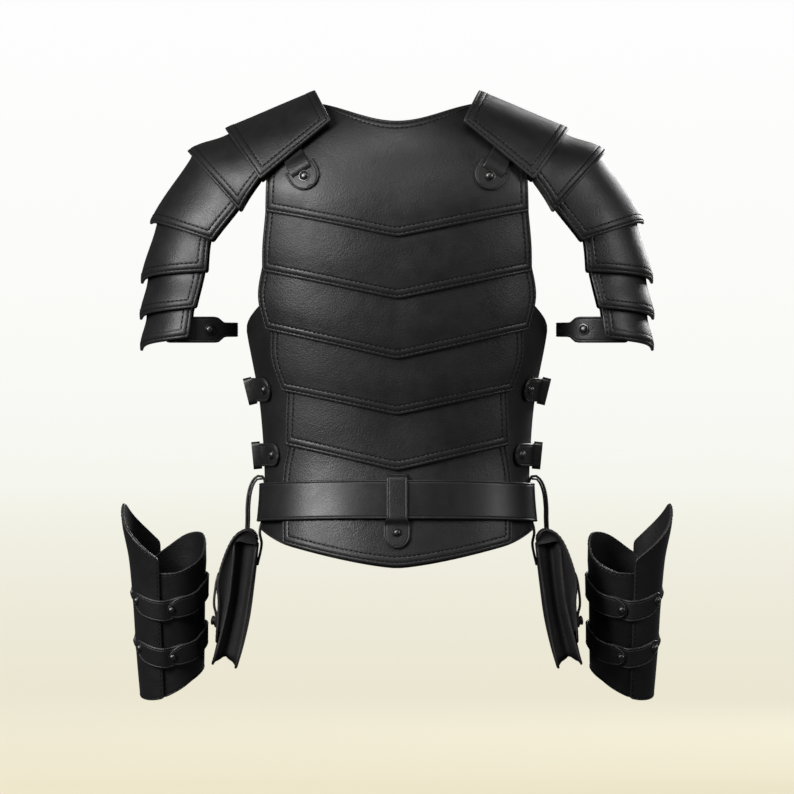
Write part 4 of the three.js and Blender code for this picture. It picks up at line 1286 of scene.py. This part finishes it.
# Turned forms, as steps of radius and height.
RIVET_FORM = (
    (5.5, -0.9), (5.5, 0.4), (5.2, 0.85), (4.6, 0.95), (4.15, 0.55), (3.9, 1.1), (3.4, 1.8), (2.5, 2.4),
    (1.4, 2.75), (0.4, 2.85),
)
STUD_FORM = (
    (5.4, -1.4), (5.4, 1.1), (4.7, 1.5), (4.6, 1.9), (5.3, 2.5), (5.4, 3.5), (4.7, 4.5), (2.8, 5.1),
    (0.5, 5.3),
)
SHOULDER_RIVETS = 1.2  # how much larger than the others


def seat_between(point):
    """A seat at a point's own height, facing the way that the point moves as it rises."""
    seat = point(0)
    return seat, seat - point(-1)


def other_side(seat):
    return tuple(np.asarray(part) * MIRROR for part in seat)


def rivet_seats():
    """Where each rivet of the left sits and which way it points, by group."""
    tie_face, strap_end = SHOULDER_TAB_RIVET
    turn = math.radians(ARM_STRAP["rivet"])
    outward = np.array((math.cos(turn), math.sin(turn), 0))
    axis = np.array((ARM_STRAP["x"], 0, ARM_STRAP["z"]))
    bracer_places = ((BRACER_STRAP_REACH[0] + 9, 0), (LAP[1] - 7, LAP_RISE), (BRACER_STRAP_REACH[1] - 8, 0))

    def on_bracer(at, degrees, lift):
        low = bracer_strap_low(degrees) + STRAP_THICK + lift
        return seat_between(lambda rise: bracer_point(degrees, at - strap_rise(degrees), low + rise))

    return {
        "belt": [(trunk_point(0, LOOP["rivet"], LOOP_LOW + STRAP_THICK, "back"), (0, -1, 0))],
        "sides": [
            seat_between(lambda rise: side_strap_spot(z, start, u, rise))
            for _, z, start, _ in SIDE_STRAPS
            for u in (0.1, 0.9)
        ],
        "shoulders": [
            *(
                seat_between(lambda rise: shoulder_spot(side, 0, strap_end, tie_face + rise))
                for side in SIDES
            ),
            (axis + outward * (ARM_STRAP["radius"] + STRAP_THICK), outward),
        ],
        "bracers": [on_bracer(at, *place) for _, at, _ in BRACER_STRAPS for place in bracer_places],
    }


# ---------------------------------------------------------------- settings
def setting(name, description, default, unit="NONE"):
    return bpy.props.FloatProperty(name=name, description=description, default=default, unit=unit)


def dye(name, description, default):
    return bpy.props.FloatVectorProperty(name=name, description=description, subtype="COLOR", default=default)


class ArmourLeather(bpy.types.PropertyGroup):
    """The hides."""

    colour: dye("Leather colour", "Dyed colour of the leather", (0.0072, 0.007, 0.0072))
    roughness: setting("Leather roughness", "How matt the lames are", 0.47)
    belt_roughness: setting("Belt roughness", "How matt the belt is", 0.42)
    grain: setting("Grain", "How deep the grain shows", 0.32)
    wear: setting("Wear", "How rubbed the edges are", 0.7)


class ArmourThread(bpy.types.PropertyGroup):
    """The stitching."""

    colour: dye("Thread colour", "Colour of the waxed thread", (0.0035, 0.0033, 0.003))
    pitch: setting("Pitch", "From stitch to stitch", 0.0054, "LENGTH")
    length: setting("Length", "Length of a stitch", 0.0038, "LENGTH")
    thickness: setting("Thickness", "Of the thread", 0.00125, "LENGTH")


class ArmourHardware(bpy.types.PropertyGroup):
    """The rivets and buckles."""

    colour: dye("Metal colour", "Colour of the bronzed steel", (0.1, 0.098, 0.096))
    roughness: setting("Metal roughness", "How matt the metal is", 0.38)


class ArmourStage(bpy.types.PropertyGroup):
    """The floor, wall, lights and camera."""

    floor: setting("Floor height", "Height of the floor", -0.79, "LENGTH")
    key: setting("Main light", "Power of the large soft light", 150, "POWER")
    fill: setting("Side light", "Power of the light from the right", 26, "POWER")
    top: setting("Top light", "Power of the light from above", 21, "POWER")
    front: setting("Front light", "Power of the light on the chest", 70, "POWER")
    distance: setting("Camera distance", "From the camera to the armour", 12, "LENGTH")
    height: setting("Camera height", "Height of the camera", -0.322, "LENGTH")
    view_width: setting("View width", "Width seen at the armour", 0.897, "LENGTH")


# ---------------------------------------------------------------- operators
class BuildTorso(bpy.types.Operator):
    """Lays the under panels, yokes, lames and tails of the back and the front"""

    bl_idname = "armour.torso"
    bl_label = "Torso lames"

    def execute(self, context):
        for side in SIDES:
            sheets = torso_hides(side)
            panel = side + "_panel"
            for node, (hide, _) in sheets.items():
                cut(hide, node + "_leather", "armour", node, None if node == panel else panel + "_leather")
            sheets.pop(panel)
            sew(side + "_stitching", sheets.values())
        return {"FINISHED"}


class BuildBelt(bpy.types.Operator):
    """Lays the belt with its free end and keeper, and the loop that holds it at the back"""

    bl_idname = "armour.belt"
    bl_label = "Belt"

    def execute(self, context):
        band = "belt_leather_band"
        cut(belt_hide(), band, "belt", "belt", "back_lame_5_leather")
        cut(belt_tip_hide(), "belt_free_end", "belt", None, band, "laid")
        cut(belt_keeper_hide(), "belt_keeper", "belt", None, band, "folded")
        cut(belt_loop_hide(), "belt_loop_leather", "strap", "belt_loop_back", "back_tail_leather", "folded")
        return {"FINISHED"}


class BuildShoulders(bpy.types.Operator):
    """Lays the shoulder guards with their arm straps, and the patches that tie them to the yoke"""

    bl_idname = "armour.shoulders"
    bl_label = "Shoulder guards"

    def execute(self, context):
        lames = [(guard_hide(index), 9 if index else 0) for index in range(len(TUCK))]
        arm = arm_strap_hide()
        patches = {side: shoulder_tab_hides(side) for side in SIDES}
        for hand in HANDS:
            above = hand + "_shoulder_strap_back"
            for index, (hide, _) in enumerate(lames, 1):
                node = f"{hand}_shoulder_lame_{index}"
                cut(hide.on(hand), node + "_leather", "armour", node, above, "hung")
                above = node + "_leather"
            sew(hand + "_shoulder_stitching", [(hide.on(hand), hidden) for hide, hidden in lames])
            cut(arm.on(hand), hand + "_arm_strap_leather", "strap", hand + "_arm_strap", above, "folded")
            for side, (patch, tie) in patches.items():
                node = f"{hand}_shoulder_tab_{side}"
                cut(patch.on(hand), node + "_leather", "strap", node, side + "_yoke_leather", "laid")
                cut(tie.on(hand), f"{hand}_shoulder_strap_{side}", "strap", None, node + "_leather", "folded")
        return {"FINISHED"}


class BuildSides(bpy.types.Operator):
    """Lays the side straps that draw the back and the front together"""

    bl_idname = "armour.sides"
    bl_label = "Side straps"

    def execute(self, context):
        for name, *where in SIDE_STRAPS:
            hide = side_strap_hide(*where)
            for hand in HANDS:
                node = f"{hand}_side_strap_{name}"
                cut(hide.on(hand), node + "_leather", "strap", node, "back_panel_leather")
        return {"FINISHED"}


class BuildBracers(bpy.types.Operator):
    """Lays the arm guards: an outer shell, a tongue on the inside and two straps"""

    bl_idname = "armour.bracers"
    bl_label = "Arm guards"

    def execute(self, context):
        shell, tongue = bracer_shell_hide(), bracer_tongue_hide()
        straps = {name: bracer_strap_hides(at, half) for name, at, half in BRACER_STRAPS}
        for hand in HANDS:
            base = hand + "_bracer_"
            outside = base + "shell_leather"
            cut(shell.on(hand), outside, "armour", base + "shell")
            cut(tongue.on(hand), base + "tongue_leather", "armour", base + "tongue", outside)
            for name, (inner, outer) in straps.items():
                node = base + "strap_" + name
                cut(inner.on(hand), node + "_leather", "strap", node, outside)
                cut(outer.on(hand), node + "_over", "strap", None, node + "_leather")
            sew(base + "stitching", [(shell.on(hand), 0), (tongue.on(hand), 0)])
        return {"FINISHED"}


# The sheets of a pouch: ending of the name, finish, node, what it lies on, how it is held.
POUCH_SHEETS = {
    "pouch_back": ("", "pouch", "pouch_body", "pouch_hanger", "hung"),
    "pouch_front": ("", "pouch", None, "pouch_gusset", "hung"),
    "pouch_gusset": ("", "pouch", None, "pouch_back", "folded"),
    "pouch_flap": ("_leather", "pouch", "pouch_flap", "pouch_front", "folded"),
    "pouch_cheek_back": ("", "pouch", None, "pouch_front", "folded"),
    "pouch_cheek_front": ("", "pouch", None, "pouch_front", "folded"),
    "pouch_strap": ("_leather", "strap", "pouch_strap", "pouch_flap_leather", "laid"),
}


class BuildPouches(bpy.types.Operator):
    """Lays the two belt pouches with their flaps, closing straps and hangers"""

    bl_idname = "armour.pouches"
    bl_label = "Pouches"

    def execute(self, context):
        hides = pouch_hides()
        hanger, lining = hanger_hides()
        for hand in HANDS:
            of = hand + "_"
            for name, (ending, key, node, under, held) in POUCH_SHEETS.items():
                cut(hides[name].on(hand), of + name + ending, key, node and of + node, of + under, held)
            sewn = ("pouch_back", "pouch_front", "pouch_flap")
            sew(of + "pouch_stitching", [(hides[name].on(hand), 0) for name in sewn])
            over = ("belt_leather_band", "folded")
            cut(hanger.on(hand), of + "hanger_leather", "strap", of + "pouch_hanger", *over)
            cut(lining.on(hand), of + "hanger_lining_leather", "strap", None, *over)
        return {"FINISHED"}


class BuildHardware(bpy.types.Operator):
    """Sets the rivets, studs and buckles"""

    bl_idname = "armour.hardware"
    bl_label = "Rivets and buckles"

    def execute(self, context):
        rivet, stud = turned(RIVET_FORM), turned(STUD_FORM)
        for group, seats in rivet_seats().items():
            both = seats if group == "belt" else seats + [other_side(seat) for seat in seats]
            size = Matrix.Scale(SHOULDER_RIVETS if group == "shoulders" else 1, 4)
            set_down(group + "_rivets", rivet, [standing(*seat) @ size for seat in both])
        seat = seat_between(lambda rise: hung(POUCH["deep"] + STUD["out"] + rise, 0, STUD["up"]))
        set_down("pouch_studs", stud, [standing(*seat), standing(*other_side(seat))])
        side = window_frame(*SIDE_BUCKLE)
        for name, z, *_ in SIDE_STRAPS:
            low, flush, high = (side_strap_spot(z, 0, 0.5, rise) for rise in (SIDE_BUCKLE_SUNK, 0, 1))
            seat = (low, (high - flush) * np.array((1, 0, 1)))
            for hand, worn in zip(HANDS, (seat, other_side(seat))):
                node = f"{hand}_side_buckle_{name}"
                set_down(node + "_cast", side, [standing(*worn, (0, -1, 0))], node)
        front = window_frame(*BELT_BUCKLE)
        lift = belt_low(180) + BELT_THICK + 2.6
        seat = girdle_point(180, (BELT["top"] + BELT["bottom"]) / 2, lift)
        set_down("belt_buckle_cast", front, [standing(seat, (0, 1, 0), (1, 0, 0))], "belt_buckle")
        for master in (rivet, stud, side, front):
            bpy.data.objects.remove(master)
        return {"FINISHED"}


def lamp(name, power, size, place, target):
    """A soft rectangular light that looks at a target."""
    light = bpy.data.lights.new(name, "AREA")
    light.energy, light.shape = power, "RECTANGLE"
    light.size, light.size_y = size
    holder = linked(name, light)
    holder.location = place
    holder.visible_camera = False
    holder.rotation_euler = (Vector(target) - Vector(place)).to_track_quat("-Z", "Y").to_euler()


def stage_piece(name, material, primitive, **size):
    """Adds a piece of the stage that only the camera sees, so that the lamps alone light."""
    clear_selection()
    primitive(**size)
    paper = bpy.context.object
    paper.name = name
    paper.data.materials.append(material)
    paper.visible_glossy = paper.visible_diffuse = False
    bpy.ops.object.transform_apply(location=True, rotation=True, scale=True)
    paper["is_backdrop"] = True


# Tones of the painted glow of the floor and the backdrop, from near to far.
CREAM, PALE, WHITE = (0.863, 0.8, 0.605, 1), (1.006, 1.015, 0.942, 1), (1.085, 1.085, 1.085, 1)
SENSOR = 36
WORLD = {"Color": (0.97, 0.98, 1, 1), "Strength": 0.07}


class BuildStage(bpy.types.Operator):
    """Makes the floor and wall, the lights and the camera"""

    bl_idname = "armour.stage"
    bl_label = "Stage"

    def execute(self, context):
        stage, add = context.scene.armour_stage, bpy.ops.mesh
        ground = (0, 0, stage.floor)
        floor_paper = paper_finish("Floor paper", CREAM, PALE, (1, 45), (1, 1, 0))
        wall_paper = paper_finish("Backdrop paper", PALE, WHITE, (0, 3), (0, 0, 1), ground)
        disc = {"vertices": 96, "radius": 60, "fill_type": "NGON", "location": ground}
        stage_piece("Floor", floor_paper, add.primitive_circle_add, **disc)
        dome = {"segments": 96, "ring_count": 48, "radius": 62, "location": ground}
        stage_piece("Backdrop", wall_paper, add.primitive_uv_sphere_add, **dome)
        bpy.ops.object.shade_smooth()
        lamp("Main light", stage.key, (1.6, 1.4), (-2.42, -2.5, 1.15), (0, 0, -0.1))
        lamp("Side light", stage.fill, (0.7, 1.4), (2.6, -1.2, 0.9), (0, 0, -0.15))
        lamp("Top light", stage.top, (1.4, 0.8), (-0.2, -1.9, 2.1), (0, 0, 0))
        lamp("Front light", stage.front, (1.8, 1.6), (1.7, 3.1, 1.0), (0, 0, -0.25))
        world = bpy.data.worlds.new("Studio")
        world.use_nodes = True
        for key, value in WORLD.items():
            world.node_tree.nodes["Background"].inputs[key].default_value = value
        context.scene.world = world
        context.scene.view_settings.view_transform = "Standard"
        camera = bpy.data.cameras.new("Camera")
        camera.sensor_width = SENSOR
        camera.lens = SENSOR * stage.distance / stage.view_width
        camera.clip_end = 300
        holder = linked("Camera", camera)
        holder.location = (0, -stage.distance, stage.height)
        holder.rotation_euler = (math.pi / 2, 0, 0)
        context.scene.camera = holder
        return {"FINISHED"}


class ArmourPanel(bpy.types.Panel):
    """The armour's settings and parts"""

    bl_idname = "ARMOUR_PT_parts"
    bl_label = "Lamellar armour"
    bl_space_type = "VIEW_3D"
    bl_region_type = "UI"
    bl_category = "Armour"

    def draw(self, context):
        for group in (getattr(context.scene, name) for name in SETTINGS):
            box = self.layout.box()
            for key in group.__annotations__:
                box.prop(group, key)
        for operator in OPERATORS:
            self.layout.operator(operator.bl_idname)


SETTINGS = {
    "armour_leather": ArmourLeather,
    "armour_thread": ArmourThread,
    "armour_hardware": ArmourHardware,
    "armour_stage": ArmourStage,
}
OPERATORS = (
    BuildTorso, BuildBelt, BuildSides, BuildShoulders, BuildBracers, BuildPouches, BuildHardware, BuildStage,
)


def register():
    for group in (*SETTINGS.values(), *OPERATORS, ArmourPanel):
        bpy.utils.register_class(group)
    for name, group in SETTINGS.items():
        setattr(bpy.types.Scene, name, bpy.props.PointerProperty(type=group))


def unregister():
    for name in SETTINGS:
        delattr(bpy.types.Scene, name)
    for group in (ArmourPanel, *OPERATORS, *SETTINGS.values()):
        bpy.utils.unregister_class(group)


def main():
    register()
    bpy.ops.armour.torso()
    bpy.ops.armour.belt()
    bpy.ops.armour.sides()
    bpy.ops.armour.shoulders()
    bpy.ops.armour.bracers()
    bpy.ops.armour.pouches()
    bpy.ops.armour.hardware()
    bpy.ops.armour.stage()
    boxes = {"cad": CAD_BOX, "visual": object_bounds()}
    {name: [list(corner) for corner in box] for name, box in boxes.items()}


if __name__ == "__main__":
    main()
